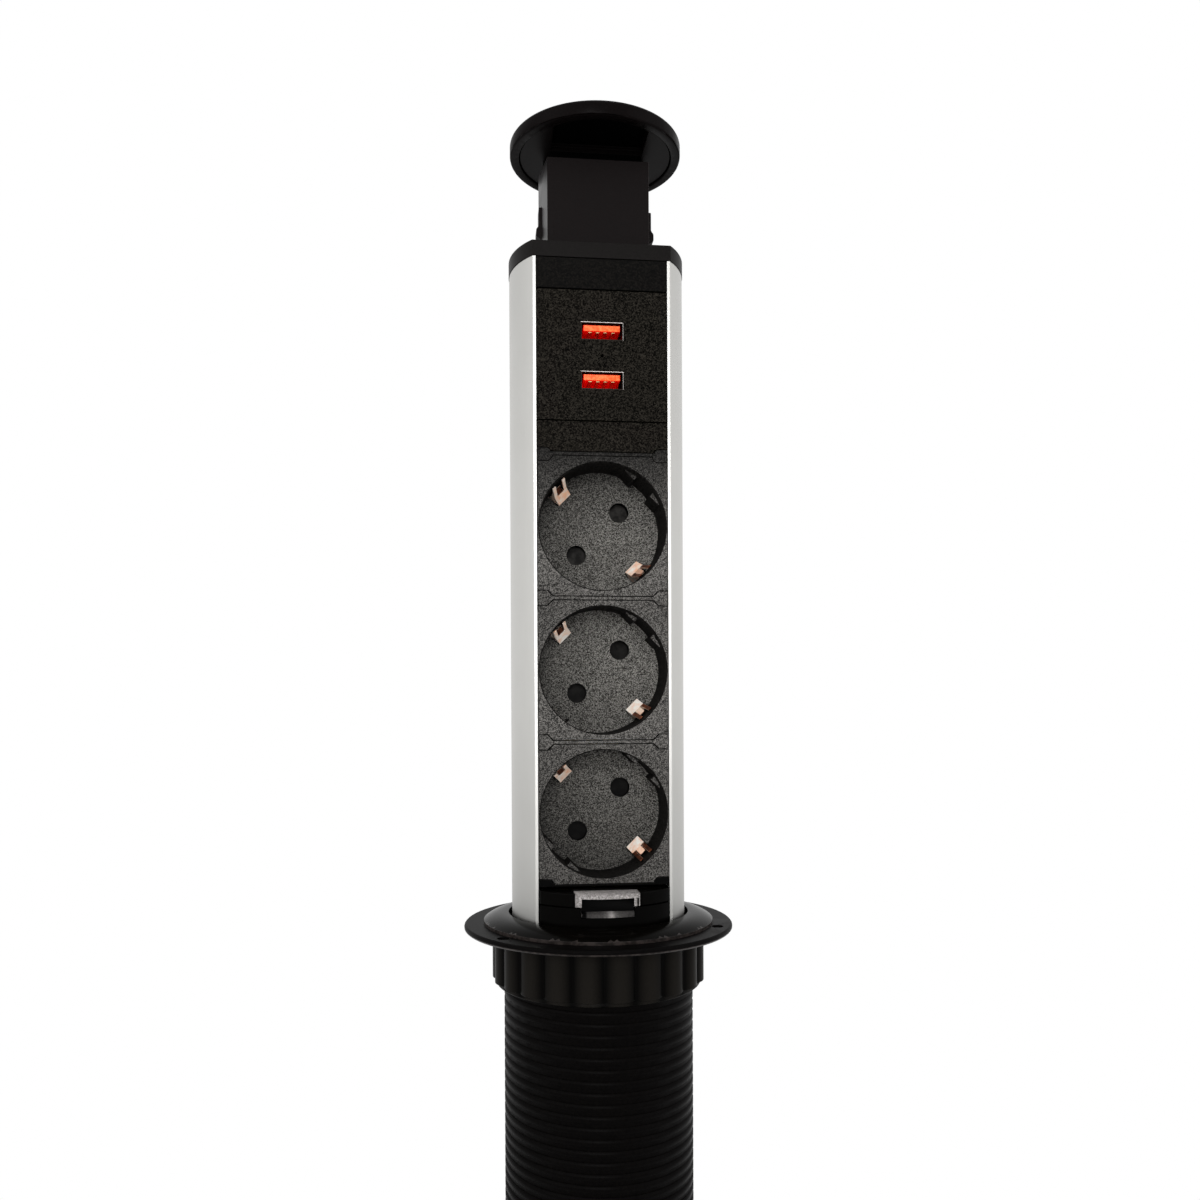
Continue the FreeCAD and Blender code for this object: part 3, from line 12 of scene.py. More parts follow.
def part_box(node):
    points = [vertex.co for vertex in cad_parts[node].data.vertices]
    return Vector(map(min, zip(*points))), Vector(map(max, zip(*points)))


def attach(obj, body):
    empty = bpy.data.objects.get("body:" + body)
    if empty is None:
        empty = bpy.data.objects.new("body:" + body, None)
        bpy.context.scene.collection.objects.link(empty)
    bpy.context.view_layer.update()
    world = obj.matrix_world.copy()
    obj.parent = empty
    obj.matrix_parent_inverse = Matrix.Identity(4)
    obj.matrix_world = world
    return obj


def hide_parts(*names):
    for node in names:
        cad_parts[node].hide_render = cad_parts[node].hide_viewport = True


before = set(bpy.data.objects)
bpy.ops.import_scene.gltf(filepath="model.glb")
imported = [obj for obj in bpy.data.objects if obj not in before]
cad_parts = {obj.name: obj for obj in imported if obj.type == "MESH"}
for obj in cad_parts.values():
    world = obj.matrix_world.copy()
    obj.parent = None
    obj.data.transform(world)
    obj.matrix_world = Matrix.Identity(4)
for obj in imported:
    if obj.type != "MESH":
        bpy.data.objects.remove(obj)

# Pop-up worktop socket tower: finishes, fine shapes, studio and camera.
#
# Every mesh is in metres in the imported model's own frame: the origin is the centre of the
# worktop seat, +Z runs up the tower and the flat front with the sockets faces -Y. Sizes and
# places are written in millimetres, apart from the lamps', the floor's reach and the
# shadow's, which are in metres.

MM = 0.001
PHOTO_WIDTH = 1200

# Copied meshes: points closer than WELD join, bends under FLAT degrees vanish, faces with
# more than LARGEST corners are split, and edges sharper than SHARP degrees stay sharp.
WELD = 0.002
FLAT = 0.4
LARGEST = 90
SHARP = 32.0

# How squarely a face has to look along an axis to count as facing it, and how near in
# millimetres two places have to be to count as one.
LEANING = 0.5
SQUARE = 0.9
FRONT = 0.93
FLUSH = 0.95
TOUCH = 0.05

# Sizes in millimetres and shares of the patterns in the finishes; the bright grains stand for
# painted glints as well as grain.
CLOUD_SIZE = 9.0
CLOUD_SHARE = 0.15
COARSENESS = 0.55
GRAIN_GLINT_GAIN = 1.25
GRAIN_GLINT_SHARE = 0.9
SHEEN_SIZE = 12.0
SHEEN_SHARE = 0.4

Colour = tuple[float, float, float]
Point = tuple[float, float, float]
Value = Union["Signal", float, Sequence[float]]
Face = bpy.types.MeshPolygon
Mesh = bpy.types.Mesh
Edit = bmesh.types.BMesh
Corner = bmesh.types.BMVert

log = logging.getLogger("socket_tower")


class Body(Enum):
    """The moving bodies of the tower."""

    BARREL = "barrel"
    TOWER = "tower"
    NUT_RIDER = "nut_rider"
    NUT = "nut"
    BUTTON = "button"
    SHUTTER_1 = "shutter_body_1"
    SHUTTER_2 = "shutter_body_2"
    SHUTTER_3 = "shutter_body_3"


class Axis(Enum):
    """The model's own directions."""

    ACROSS = "X"
    DEEP = "Y"
    UP = "Z"


# Node writing


class Signal:
    """A node's socket that can be written in sums and products."""

    def __init__(self, tree: "Tree", socket: bpy.types.NodeSocket) -> None:
        """Keeps the tree that the socket belongs to."""
        self.tree = tree
        self.socket = socket

    def _maths(self, operation: str, first: Value, second: Value) -> "Signal":
        """Adds one Math node for two numbers."""
        return self.tree.node("ShaderNodeMath", {0: first, 1: second}, operation=operation)

    def __add__(self, other: Value) -> "Signal":
        """Sum."""
        return self._maths("ADD", self, other)

    def __radd__(self, other: Value) -> "Signal":
        """Sum, reflected."""
        return self._maths("ADD", other, self)

    def __sub__(self, other: Value) -> "Signal":
        """Difference."""
        return self._maths("SUBTRACT", self, other)

    def __rsub__(self, other: Value) -> "Signal":
        """Difference, reflected."""
        return self._maths("SUBTRACT", other, self)

    def __mul__(self, other: Value) -> "Signal":
        """Product."""
        return self._maths("MULTIPLY", self, other)

    def __rmul__(self, other: Value) -> "Signal":
        """Product, reflected."""
        return self._maths("MULTIPLY", other, self)

    def __truediv__(self, other: Value) -> "Signal":
        """Quotient."""
        return self._maths("DIVIDE", self, other)

    def clipped(self) -> "Signal":
        """The value held between 0 and 1."""
        return self.tree.node("ShaderNodeClamp", {"Value": self})


class Tree:
    """A node tree being written."""

    def __init__(self, tree: bpy.types.NodeTree) -> None:
        """Starts from an empty tree."""
        self.tree = tree
        self.tree.nodes.clear()

    def node(
        self,
        kind: str,
        inputs: dict[Union[str, int], object] | None = None,
        output: Union[str, int] = 0,
        **settings: object,
    ) -> Signal:
        """Adds a node, sets it up and joins its inputs.

        Args:
            kind: Blender's name of the node type.
            inputs: values or signals by socket name or number.
            output: the socket that is given back.
            settings: properties of the node, or a ramp's stops.

        Returns:
            The chosen output as a signal.
        """
        made = self.tree.nodes.new(kind)
        for word, setting in settings.items():
            if word == "stops":
                self._stops(made, setting)
            else:
                setattr(made, word, setting)
        for word, value in (inputs or {}).items():
            if isinstance(value, Signal):
                self.tree.links.new(value.socket, made.inputs[word])
            else:
                made.inputs[word].default_value = value
        return Signal(self, made.outputs[output] if made.outputs else made.inputs[0])

    @staticmethod
    def _stops(ramp: bpy.types.Node, stops: Sequence[tuple[float, float]]) -> None:
        """Gives a colour ramp its grey stops.

        Args:
            ramp: the ramp's node.
            stops: rising places between 0 and 1, each with its grey.
        """
        elements = ramp.color_ramp.elements
        while len(elements) > 1:
            elements.remove(elements[-1])
        elements[0].position = stops[0][0]
        elements[0].color = (stops[0][1],) * 3 + (1,)
        for place, grey in stops[1:]:
            elements.new(place).color = (grey, grey, grey, 1)


class Recipe(Tree):
    """A procedural material or world being written."""

    def spot(self, axis: Axis | None = None) -> Signal:
        """Object coordinates, or one of them.

        Args:
            axis: the direction of the wanted one, or None for all.

        Returns:
            The coordinates in metres.
        """
        where = self.node("ShaderNodeTexCoord", output="Object")
        if axis is None:
            return where
        return self.node("ShaderNodeSeparateXYZ", {0: where}, axis.value)

    def place(self, scale: Point = (1, 1, 1)) -> Signal:
        """Object coordinates, stretched along each axis."""
        return self.node("ShaderNodeMapping", {"Vector": self.spot(), "Scale": scale})

    def along(self, shade: "Shade") -> Signal:
        """The tone of a painted shade at each place.

        Args:
            shade: the tones by place.

        Returns:
            The tone as a grey.
        """
        first, last = shade.stops[0][0], shade.stops[-1][0]
        share = (self.spot(shade.axis) - first * MM) * (1 / ((last - first) * MM))
        stops = tuple(((level - first) / (last - first), tone) for level, tone in shade.stops)
        return self.node("ShaderNodeValToRGB", {"Fac": share.clipped()}, stops=stops)

    def shaded(self, colour: Signal, shades: Sequence["Shade"]) -> Signal:
        """Multiplies a colour by painted shades.

        Args:
            colour: the plain colour.
            shades: the tones by place.

        Returns:
            The toned colour.
        """
        for shade in shades:
            inputs = {0: 1.0, 6: colour, 7: self.along(shade)}
            colour = self.node("ShaderNodeMix", inputs, 2, data_type="RGBA", blend_type="MULTIPLY")
        return colour

    def lobes(self, count: int, valley: float) -> Signal:
        """A painted shade round Z, nought at each valley and one at each lobe's top.

        Args:
            count: how many lobes there are.
            valley: the angle of a valley in degrees.

        Returns:
            The tone at each place.
        """
        sides = {0: self.spot(Axis.DEEP), 1: self.spot(Axis.ACROSS)}
        angle = self.node("ShaderNodeMath", sides, operation="ARCTAN2")
        turn = (angle - math.radians(valley)) * (count / 2)
        wave = self.node("ShaderNodeMath", {0: turn}, operation="SINE")
        return self.node("ShaderNodeMath", {0: wave}, operation="ABSOLUTE")

    def noise(self, size: float, where: Signal, detail: float = 2.0) -> Signal:
        """Cloudy noise whose spots are about size millimetres wide."""
        scale = 1 / (size * MM)
        inputs = {"Vector": where, "Scale": scale, "Detail": detail, "Roughness": COARSENESS}
        return self.node("ShaderNodeTexNoise", inputs)

    def grains(self, size: float, where: Signal) -> Signal:
        """An even random number for each of the grains, about size millimetres wide."""
        inputs = {"Vector": where, "Scale": 1 / (size * MM)}
        cells = self.node("ShaderNodeTexVoronoi", inputs, "Color")
        return self.node("ShaderNodeSeparateColor", {0: cells}, 0)

    def colour_mix(self, factor: Value, low: Colour, high: Colour) -> Signal:
        """A colour between two colours."""
        inputs = {0: factor, 6: (*low, 1), 7: (*high, 1)}
        return self.node("ShaderNodeMix", inputs, 2, data_type="RGBA")

    def surface(
        self, colour: Value, roughness: Value, relief: tuple[Signal, float], more: dict[str, Value]
    ) -> Signal:
        """A plastic or metal surface with a relief.

        Args:
            colour: its base colour.
            roughness: its roughness.
            relief: a height between 0 and 1, and what 1 stands for in millimetres.
            more: the shader's other inputs by name.

        Returns:
            The shader.
        """
        height, depth = relief
        inputs = {"Height": height, "Distance": depth * MM, "Strength": 1.0}
        normal = self.node("ShaderNodeBump", inputs)
        basic = {"Base Color": colour, "Roughness": roughness, "Normal": normal}
        return self.node("ShaderNodeBsdfPrincipled", {**basic, **more})


class Growth(Tree):
    """A Geometry Nodes tree with named sizes."""

    def __init__(self, name: str, sizes: dict[str, Union[int, float]]) -> None:
        """Adds the tree's sockets.

        Args:
            name: the tree's name.
            sizes: the sizes by name, whole numbers for counts.
        """
        super().__init__(bpy.data.node_groups.new(name, "GeometryNodeTree"))
        self.name = name
        face = self.tree.interface
        face.new_socket("Shape", in_out="OUTPUT", socket_type="NodeSocketGeometry")
        face.new_socket("Seed points", in_out="INPUT", socket_type="NodeSocketGeometry")
        self.values: dict[str, Union[int, float]] = {}
        for word, size in sizes.items():
            kind = "NodeSocketInt" if isinstance(size, int) else "NodeSocketFloat"
            socket = face.new_socket(word, in_out="INPUT", socket_type=kind)
            self.values[socket.identifier] = size
        self.entry = self.tree.nodes.new("NodeGroupInput")
        self.exit = self.tree.nodes.new("NodeGroupOutput")

    def given(self, word: str) -> Signal:
        """The tree's input of that name."""
        return Signal(self, self.entry.outputs[word])

    def grow(self, shape: Signal, finish: "Finish", points: Sequence[Point] = ()) -> Mesh:
        """Closes the tree and turns what it makes into a plain mesh.

        Args:
            shape: the geometry to keep.
            finish: the finish of its faces.
            points: places in millimetres, given to the tree as loose vertices.

        Returns:
            The plain mesh.
        """
        real = self.node("GeometryNodeRealizeInstances", {0: shape})
        inputs = {"Geometry": real, "Material": finish.material()}
        dressed = self.node("GeometryNodeSetMaterial", inputs)
        self.tree.links.new(dressed.socket, self.exit.inputs[0])
        seed = bpy.data.meshes.new(self.name + "_seed")
        seed.from_pydata([Vector(point) * MM for point in points], [], [])
        holder = bpy.data.objects.new(self.name + "_holder", seed)
        modifier = holder.modifiers.new("grow", "NODES")
        modifier.node_group = self.tree
        for identifier, size in self.values.items():
            modifier[identifier] = size
        bpy.context.scene.collection.objects.link(holder)
        return settled(holder)


def settled(holder: bpy.types.Object) -> Mesh:
    """Turns an object with modifiers into a plain mesh and removes the object.

    Args:
        holder: the object, in the scene.

    Returns:
        The mesh with the modifiers' result.
    """
    graph = bpy.context.evaluated_depsgraph_get()
    mesh = bpy.data.meshes.new_from_object(holder.evaluated_get(graph))
    holder.modifiers.clear()
    bpy.data.objects.remove(holder)
    return mesh


# Finishes


class Finish:
    """A surface finish that writes its material once."""

    name: str
    made: dict[str, bpy.types.Material] = {}

    def material(self) -> bpy.types.Material:
        """Gives the finish's material, written at its first use.

        Returns:
            The material.
        """
        if self.name not in Finish.made:
            material = bpy.data.materials.new(self.name)
            material.use_nodes = True
            recipe = Recipe(material.node_tree)
            surface = self.write(recipe)
            recipe.node("ShaderNodeOutputMaterial", {"Surface": surface})
            Finish.made[self.name] = material
        return Finish.made[self.name]

    def write(self, recipe: Recipe) -> Signal:
        """Writes the finish's shader.

        Args:
            recipe: the material that is being written.

        Returns:
            The shader's output.
        """
        raise NotImplementedError


@dataclass(frozen=True)
class Shade:
    """A painted shade: a tone that changes along an axis, by rising places in millimetres."""

    axis: Axis
    stops: tuple[tuple[float, float], ...]


@dataclass(frozen=True)
class Moulding(Finish):
    """Moulded plastic or rubber with a fine grained or polished skin, whose bright grains, where
    cell is set, are painted glints as well as grain.
    """

    name: str
    dark: Colour
    light: Colour
    roughness: float
    level: float
    grain: float = 0.35
    relief: float = 0.006
    haze: float = 0.04
    spread: float = 0.2
    detail: float = 2.0
    cell: float = 0.0
    shades: tuple[Shade, ...] = ()

    def write(self, recipe: Recipe) -> Signal:
        """Speckled colour with painted glints among the grains, uneven gloss and a fine relief."""
        where = recipe.place()
        speck = recipe.noise(self.grain, where, self.detail)
        cloud = recipe.noise(CLOUD_SIZE, where)
        stops = ((0.5 - self.spread, 0.0), (0.5 + self.spread, 1.0))
        spread = recipe.node("ShaderNodeValToRGB", {"Fac": speck}, stops=stops)
        mixed = (spread * (1 - CLOUD_SHARE) + cloud * CLOUD_SHARE).clipped()
        # Painted glints: bright grains in the colour, partly the skin's grain and partly its
        # sparkle of light.
        if self.cell:
            grains = recipe.grains(self.cell, where)
            bright = (grains * grains * GRAIN_GLINT_GAIN).clipped()
            mixed = bright * GRAIN_GLINT_SHARE + mixed * (1 - GRAIN_GLINT_SHARE)
        colour = recipe.shaded(recipe.colour_mix(mixed, self.dark, self.light), self.shades)
        roughness = (cloud - 0.5) * self.haze * 2 + self.roughness
        return recipe.surface(
            colour, roughness, (speck, self.relief), {"Specular IOR Level": self.level}
        )


@dataclass(frozen=True)
class DrawnMetal(Finish):
    """Bare or plated metal with fine lines along one direction."""

    name: str
    dark: Colour
    light: Colour
    roughness: float
    line: float = 0.08
    stretch: Point = (1.0, 1.0, 0.02)
    relief: float = 0.001
    metallic: float = 1.0
    contrast: float = 1.0
    unevenness: float = 0.12
    shades: tuple[Shade, ...] = ()

    def write(self, recipe: Recipe) -> Signal:
        """Streaks in colour, gloss and height."""
        streak = recipe.noise(self.line, recipe.place(self.stretch), 3.0)
        sheen = recipe.noise(SHEEN_SIZE, recipe.place())
        mixed = streak * (1 - SHEEN_SHARE) + sheen * SHEEN_SHARE
        tone = ((mixed - 0.5) * self.contrast + 0.5).clipped()
        colour = recipe.shaded(recipe.colour_mix(tone, self.dark, self.light), self.shades)
        roughness = (streak - 0.5) * self.unevenness + self.roughness
        return recipe.surface(colour, roughness, (streak, self.relief), {"Metallic": self.metallic})


@dataclass(frozen=True)
class ValleyShadedSatin(Finish):
    """Satin plastic with painted shade in the valleys between a nut's lobes."""

    name: str
    dark: Colour
    light: Colour
    roughness: float
    level: float
    count: int
    valley: float
    grain: float = 0.6
    relief: float = 0.001
    haze: float = 0.05
    gain: float = 1.3
    start: float = 0.25
    speckle: float = 0.5

    def write(self, recipe: Recipe) -> Signal:
        """Painted shade by the angle round the axis, with a fine speckle."""
        speck = recipe.noise(self.grain, recipe.place())
        lobe = recipe.lobes(self.count, self.valley) * self.gain - self.start
        tone = (lobe * (speck * self.speckle + (1 - self.speckle / 2))).clipped()
        colour = recipe.colour_mix(tone, self.dark, self.light)
        roughness = (speck - 0.5) * self.haze + self.roughness
        return recipe.surface(
            colour, roughness, (speck, self.relief), {"Specular IOR Level": self.level}
        )


@dataclass(frozen=True)
class CircuitBoard(Finish):
    """Green solder resist over copper tracks."""

    name: str = "solder_resist"
    gap: Colour = (0.012, 0.075, 0.032)
    track: Colour = (0.02, 0.13, 0.05)
    cells_per_metre: float = 260.0
    stops: tuple[tuple[float, float], ...] = ((0.42, 0.0), (0.46, 1.0))
    rise: float = 0.02
    roughness: float = 0.3

    def write(self, recipe: Recipe) -> Signal:
        """Tracks as raised, paler bands under the resist."""
        inputs = {"Vector": recipe.place(), "Scale": self.cells_per_metre}
        cells = recipe.node("ShaderNodeTexVoronoi", inputs, distance="MANHATTAN", feature="F1")
        level = recipe.node("ShaderNodeValToRGB", {"Fac": cells}, stops=self.stops)
        colour = recipe.colour_mix(level, self.gap, self.track)
        return recipe.surface(colour, self.roughness, (level, self.rise), {})


# Painted shade on the shell's silver: darker towards its foot and its top.
SHELL_PAINTED_SHADE = Shade(
    Axis.UP,
    (
        (8, 0.65), (16, 0.72), (25, 0.8), (37, 0.845), (54.5, 0.922), (72, 0.972),
        (90, 0.99), (126, 1.0), (150, 0.965), (175, 0.925), (196, 0.89),
    ),
)
# Painted shade on the socket modules' charcoal: lighter and darker with height, darkest at the top,
# and darker towards the left.
MODULE_PAINTED_SHADE = Shade(
    Axis.UP,
    (
        (17, 0.58), (50, 0.62), (57, 0.66), (59, 0.78), (64, 0.84), (80, 0.85), (98, 0.64),
        (104, 0.78), (114, 0.9), (130, 0.55), (138, 0.3), (145, 0.13),
    ),
)
MODULE_SIDE_SHADE = Shade(Axis.ACROSS, ((-22, 0.82), (-10, 0.95), (0, 1.0), (22, 1.0)))
# Painted shade on the recess floors: darker towards the bottom, the top and the left, where the
# walls shade them.
RECESS_FLOOR_SHADE = Shade(
    Axis.UP,
    (
        (18, 0.42), (30, 0.62), (45, 0.76), (55, 0.8), (63, 0.85), (80, 1.0), (96, 1.0),
        (104, 1.0), (123, 0.98), (135, 0.7), (142, 0.5),
    ),
)
RECESS_FLOOR_SIDE_SHADE = Shade(Axis.ACROSS, ((-19, 0.55), (-9, 0.75), (0, 0.95), (9, 1.0), (19, 1.0)))
SHELL_SILVER = DrawnMetal(
    "anodised_shell", (0.515, 0.51, 0.489), (0.618, 0.613, 0.592), 0.42,
    line=0.12, stretch=(1.0, 1.0, 0.01), relief=0.0012, shades=(SHELL_PAINTED_SHADE,),
)
PLATE_BLACK = Moulding(
    "plate_black", (0.003, 0.0025, 0.0022), (0.0068, 0.0058, 0.0055), 0.42, 0.05, grain=0.3
)
NECK_BLACK = Moulding(
    "neck_black", (0.0042, 0.0032, 0.0032), (0.0072, 0.0054, 0.0054), 0.45, 0.04, grain=0.3
)
# Painted sheen: a glossier copy of the neck's black, given to its left face alone so that this face
# looks lit.
NECK_SIDE_SHEEN = Moulding(
    "neck_side", (0.0042, 0.0032, 0.0032), (0.0072, 0.0054, 0.0054), 0.36, 0.24, grain=0.3
)
# Painted highlight: a lighter grey on the neck's rounded right front corner.
NECK_CORNER_HIGHLIGHT = Moulding(
    "neck_edge", (0.06, 0.05, 0.05), (0.1, 0.09, 0.09), 0.35, 0.4, grain=0.3
)
CAP_BLACK = Moulding(
    "cap_black", (0.0022, 0.0016, 0.0016), (0.0042, 0.003, 0.003), 0.34, 0.02,
    grain=0.5, relief=0.001,
)
CAP_BASE_BLACK = Moulding(
    "cap_base_black", (0.002, 0.0014, 0.0014), (0.004, 0.003, 0.003), 0.36, 0.025, grain=0.4
)
# Painted shade: near black on the neck's set-back collar and inside the cap, where little light
# reaches.
HOLLOW_SHADE_BLACK = Moulding(
    "hollow_black", (0.0004, 0.0004, 0.0004), (0.0008, 0.0008, 0.0008), 0.6, 0.01, grain=0.5
)
SPACER_BLACK = Moulding(
    "spacer_black", (0.0002, 0.0002, 0.0002), (0.006, 0.0052, 0.0044), 0.5, 0.03,
    grain=0.4, relief=0.006, spread=0.1, detail=1.0, cell=0.36,
)
PANEL_BLACK = Moulding(
    "panel_black", (0.0, 0.0, 0.0), (0.024, 0.0212, 0.0172), 0.6, 0.01,
    grain=0.42, relief=0.01, spread=0.1, detail=1.0, cell=0.3,
)
MODULE_CHARCOAL = Moulding(
    "module_charcoal", (0.004, 0.004, 0.0035), (0.25, 0.238, 0.224), 0.62, 0.05,
    grain=0.42, relief=0.015, spread=0.1, detail=1.0, cell=0.23, shades=(MODULE_PAINTED_SHADE, MODULE_SIDE_SHADE),
)
RECESS_CHARCOAL = Moulding(
    "recess_charcoal", (0.001, 0.001, 0.001), (0.31, 0.298, 0.275), 0.6, 0.04,
    grain=0.45, relief=0.02, spread=0.08, detail=1.0, cell=0.23, shades=(RECESS_FLOOR_SHADE, RECESS_FLOOR_SIDE_SHADE),
)
# Painted shade: near black on the recess walls and on the modules' and bars' rounded edges and
# sides.
WALL_SHADE_BLACK = Moulding(
    "recess_wall", (0.0004, 0.0004, 0.0004), (0.014, 0.013, 0.012), 0.6, 0.02,
    grain=0.5, spread=0.08,
)
# Near black for the contact carriers, the lowest bar and the button's window, and painted shade
# inside the pin holes.
BLACK_AND_HOLE_SHADE = Moulding(
    "shutter_black", (0.0008, 0.0008, 0.0008), (0.0016, 0.0016, 0.0016), 0.5, 0.02, grain=0.3
)
# Painted light: the shutters deep in the pin holes are lighter in the upper modules.
SHUTTER_PAINTED_LIGHT = Shade(Axis.UP, ((30, 0.15), (60, 0.2), (90, 0.45), (114, 1.0)))
SHUTTER_GREY = Moulding(
    "shutter_grey", (0.006, 0.0055, 0.005), (0.03, 0.028, 0.026), 0.5, 0.05,
    grain=2.6, spread=0.1, shades=(SHUTTER_PAINTED_LIGHT,),
)
BASE_BLACK = Moulding(
    "base_gloss", (0.0008, 0.0007, 0.0006), (0.0014, 0.0012, 0.001), 0.17, 0.02,
    grain=1.2, relief=0.0003, haze=0.01,
)
TRIM_BLACK = Moulding(
    "trim_gloss", (0.001, 0.0008, 0.0006), (0.0018, 0.0015, 0.0012), 0.2, 0.03,
    grain=1.0, relief=0.0004, haze=0.01,
)
BUTTON_GREY = Moulding(
    "button_grey", (0.12, 0.11, 0.106), (0.4, 0.375, 0.365), 0.4, 0.3,
    grain=0.45, spread=0.08, detail=1.0, cell=0.3,
)
# Painted reflection and highlight on the button's black ledge: a grey that peaks just right of the
# middle and falls to black at the left.
LEDGE_HIGHLIGHT = Shade(
    Axis.ACROSS,
    (
        (-7.7, 0.0), (-6.5, 0.01), (-6.1, 0.16), (-2, 0.2), (-0.4, 0.4), (0.9, 1.0),
        (2.2, 0.35), (4, 0.2), (7.7, 0.12),
    ),
)
LEDGE_REFLECTION = Moulding(
    "button_ledge", (0.16, 0.15, 0.145), (0.36, 0.34, 0.33), 0.4, 0.02,
    grain=0.6, shades=(LEDGE_HIGHLIGHT,),
)
BARREL_BLACK = Moulding(
    "barrel_gloss", (0.0008, 0.0006, 0.0006), (0.002, 0.0016, 0.0015), 0.42, 0.02,
    grain=0.9, relief=0.0004, haze=0.01,
)
# Painted shade: near black between the thread's crests.
GROOVE_SHADE_BLACK = Moulding(
    "barrel_groove", (0.0004, 0.0003, 0.0003), (0.0008, 0.0006, 0.0006), 0.3, 0.02,
    grain=0.9, relief=0.0004, haze=0.01,
)
# Painted highlight: a lighter grey on the outermost band of the trim ring and on the flange's lower
# rim.
RIM_HIGHLIGHT = Moulding(
    "worn_edge", (0.006, 0.0045, 0.004), (0.03, 0.024, 0.022), 0.3, 0.12, grain=1.5, spread=0.1
)
# The nut's satin black, with painted shade in the valleys between its lobes.
NUT_BLACK = ValleyShadedSatin(
    "nut_satin", (0.0008, 0.0007, 0.0006), (0.0085, 0.0074, 0.0062), 0.36, 0.022,
    count=22, valley=4.7,
)
RUBBER_BLACK = Moulding(
    "rubber_soft", (0.006, 0.006, 0.006), (0.014, 0.014, 0.014), 0.72, 0.25,
    grain=0.25, relief=0.01,
)
PART_BLACK = Moulding(
    "part_black", (0.012, 0.012, 0.012), (0.028, 0.028, 0.028), 0.5, 0.3, grain=0.4
)
TERMINAL_WHITE = Moulding(
    "terminal_natural", (0.66, 0.65, 0.61), (0.78, 0.77, 0.73), 0.42, 0.4, grain=0.6
)
TONGUE_ORANGE = Moulding(
    "tongue_orange", (0.98, 0.1, 0.016), (1.0, 0.24, 0.07), 0.35, 0.2,
    grain=0.8, relief=0.001, spread=0.12,
)
# Painted glow: a deep red on the tongues' sides and edges and on the ports' inner walls, for light
# shining through the orange plastic.
TONGUE_GLOW_RED = Moulding(
    "tongue_red", (0.95, 0.006, 0.001), (1.0, 0.02, 0.004), 0.4, 0.1,
    grain=0.4, relief=0.001,
)
# Earth clips: copper whose near white tones are painted sheen, a copper for the lower tongues with
# painted shade dimming it upwards, and a deep brown for painted shade on the other parts.
COPPER_AND_SHEEN = DrawnMetal(
    "earth_copper", (0.99, 0.56, 0.34), (1.0, 0.95, 0.88), 0.7,
    line=1.6, stretch=(1.0, 1.0, 1.0), relief=0.004, metallic=0.1, contrast=4.0,
)
ARM_PAINTED_SHADE = Shade(Axis.UP, ((24, 1.0), (50, 0.95), (66, 0.85), (94, 0.8), (109, 0.6), (137, 0.5)))
ARM_PAINTED_LIGHT = DrawnMetal(
    "earth_arm", (0.97, 0.46, 0.26), (1.0, 0.85, 0.7), 0.65,
    line=1.2, stretch=(1.0, 1.0, 1.0), relief=0.002, metallic=0.2, contrast=3.0,
    shades=(ARM_PAINTED_SHADE,),
)
CLIP_SHADE_BROWN = DrawnMetal(
    "earth_brown", (0.01, 0.002, 0.001), (0.3, 0.09, 0.04), 0.4,
    line=1.3, stretch=(1.0, 1.0, 1.0), relief=0.002, metallic=0.8, contrast=4.0,
)
CONTACT_BRASS = DrawnMetal(
    "contact_brass", (0.62, 0.46, 0.2), (0.76, 0.6, 0.3), 0.3, line=0.06
)
SPRING_STEEL = DrawnMetal("spring_steel", (0.45, 0.45, 0.46), (0.6, 0.6, 0.61), 0.25)
SCREW_STEEL = DrawnMetal(
    "zinc_screw", (0.42, 0.42, 0.41), (0.58, 0.58, 0.56), 0.32,
    line=0.15, stretch=(1.0, 1.0, 0.2),
)
# Painted highlights on the port shells' upper and right lips, and the steel painted near black for
# the shade on the rest.
PORT_TOP_HIGHLIGHT = Moulding("port_bright", (0.7, 0.62, 0.58), (0.95, 0.88, 0.84), 0.3, 0.4, grain=0.8)
PORT_RIGHT_HIGHLIGHT = Moulding("port_grey", (0.2, 0.19, 0.18), (0.42, 0.4, 0.38), 0.35, 0.3, grain=0.6)
PORT_STEEL_SHADE = DrawnMetal(
    "port_shell", (0.006, 0.0045, 0.004), (0.016, 0.014, 0.012), 0.4,
    line=0.1, stretch=(1.0, 0.05, 1.0),
)
GOLD_PLATE = DrawnMetal("gold_contact", (0.26, 0.19, 0.08), (0.5, 0.38, 0.2), 0.3)
CAN_SILVER = DrawnMetal("capacitor_can", (0.5, 0.5, 0.5), (0.64, 0.64, 0.64), 0.3)
BOARD_GREEN = CircuitBoard()


# Meshes


def new_mesh(name: str, shape: Edit) -> Mesh:
    """Stores an edit mesh and frees it.

    Args:
        name: the stored mesh's name.
        shape: the edit mesh.

    Returns:
        The stored mesh.
    """
    mesh = bpy.data.meshes.new(name)
    shape.to_mesh(mesh)
    shape.free()
    return mesh


def whole_copy(node: str) -> Edit:
    """Copies a node's mesh with its loose triangles joined and its flat faces whole.

    Args:
        node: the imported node.

    Returns:
        The edit mesh, in metres.
    """
    shape = bmesh.new()
    shape.from_mesh(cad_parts[node].data)
    bmesh.ops.remove_doubles(shape, verts=shape.verts, dist=WELD * MM)
    bmesh.ops.dissolve_degenerate(shape, edges=shape.edges, dist=WELD / 2 * MM)
    bmesh.ops.dissolve_limit(
        shape, angle_limit=math.radians(FLAT), verts=shape.verts, edges=shape.edges
    )
    rings = [face for face in shape.faces if len(face.verts) > LARGEST]
    bmesh.ops.triangulate(shape, faces=rings)
    return shape


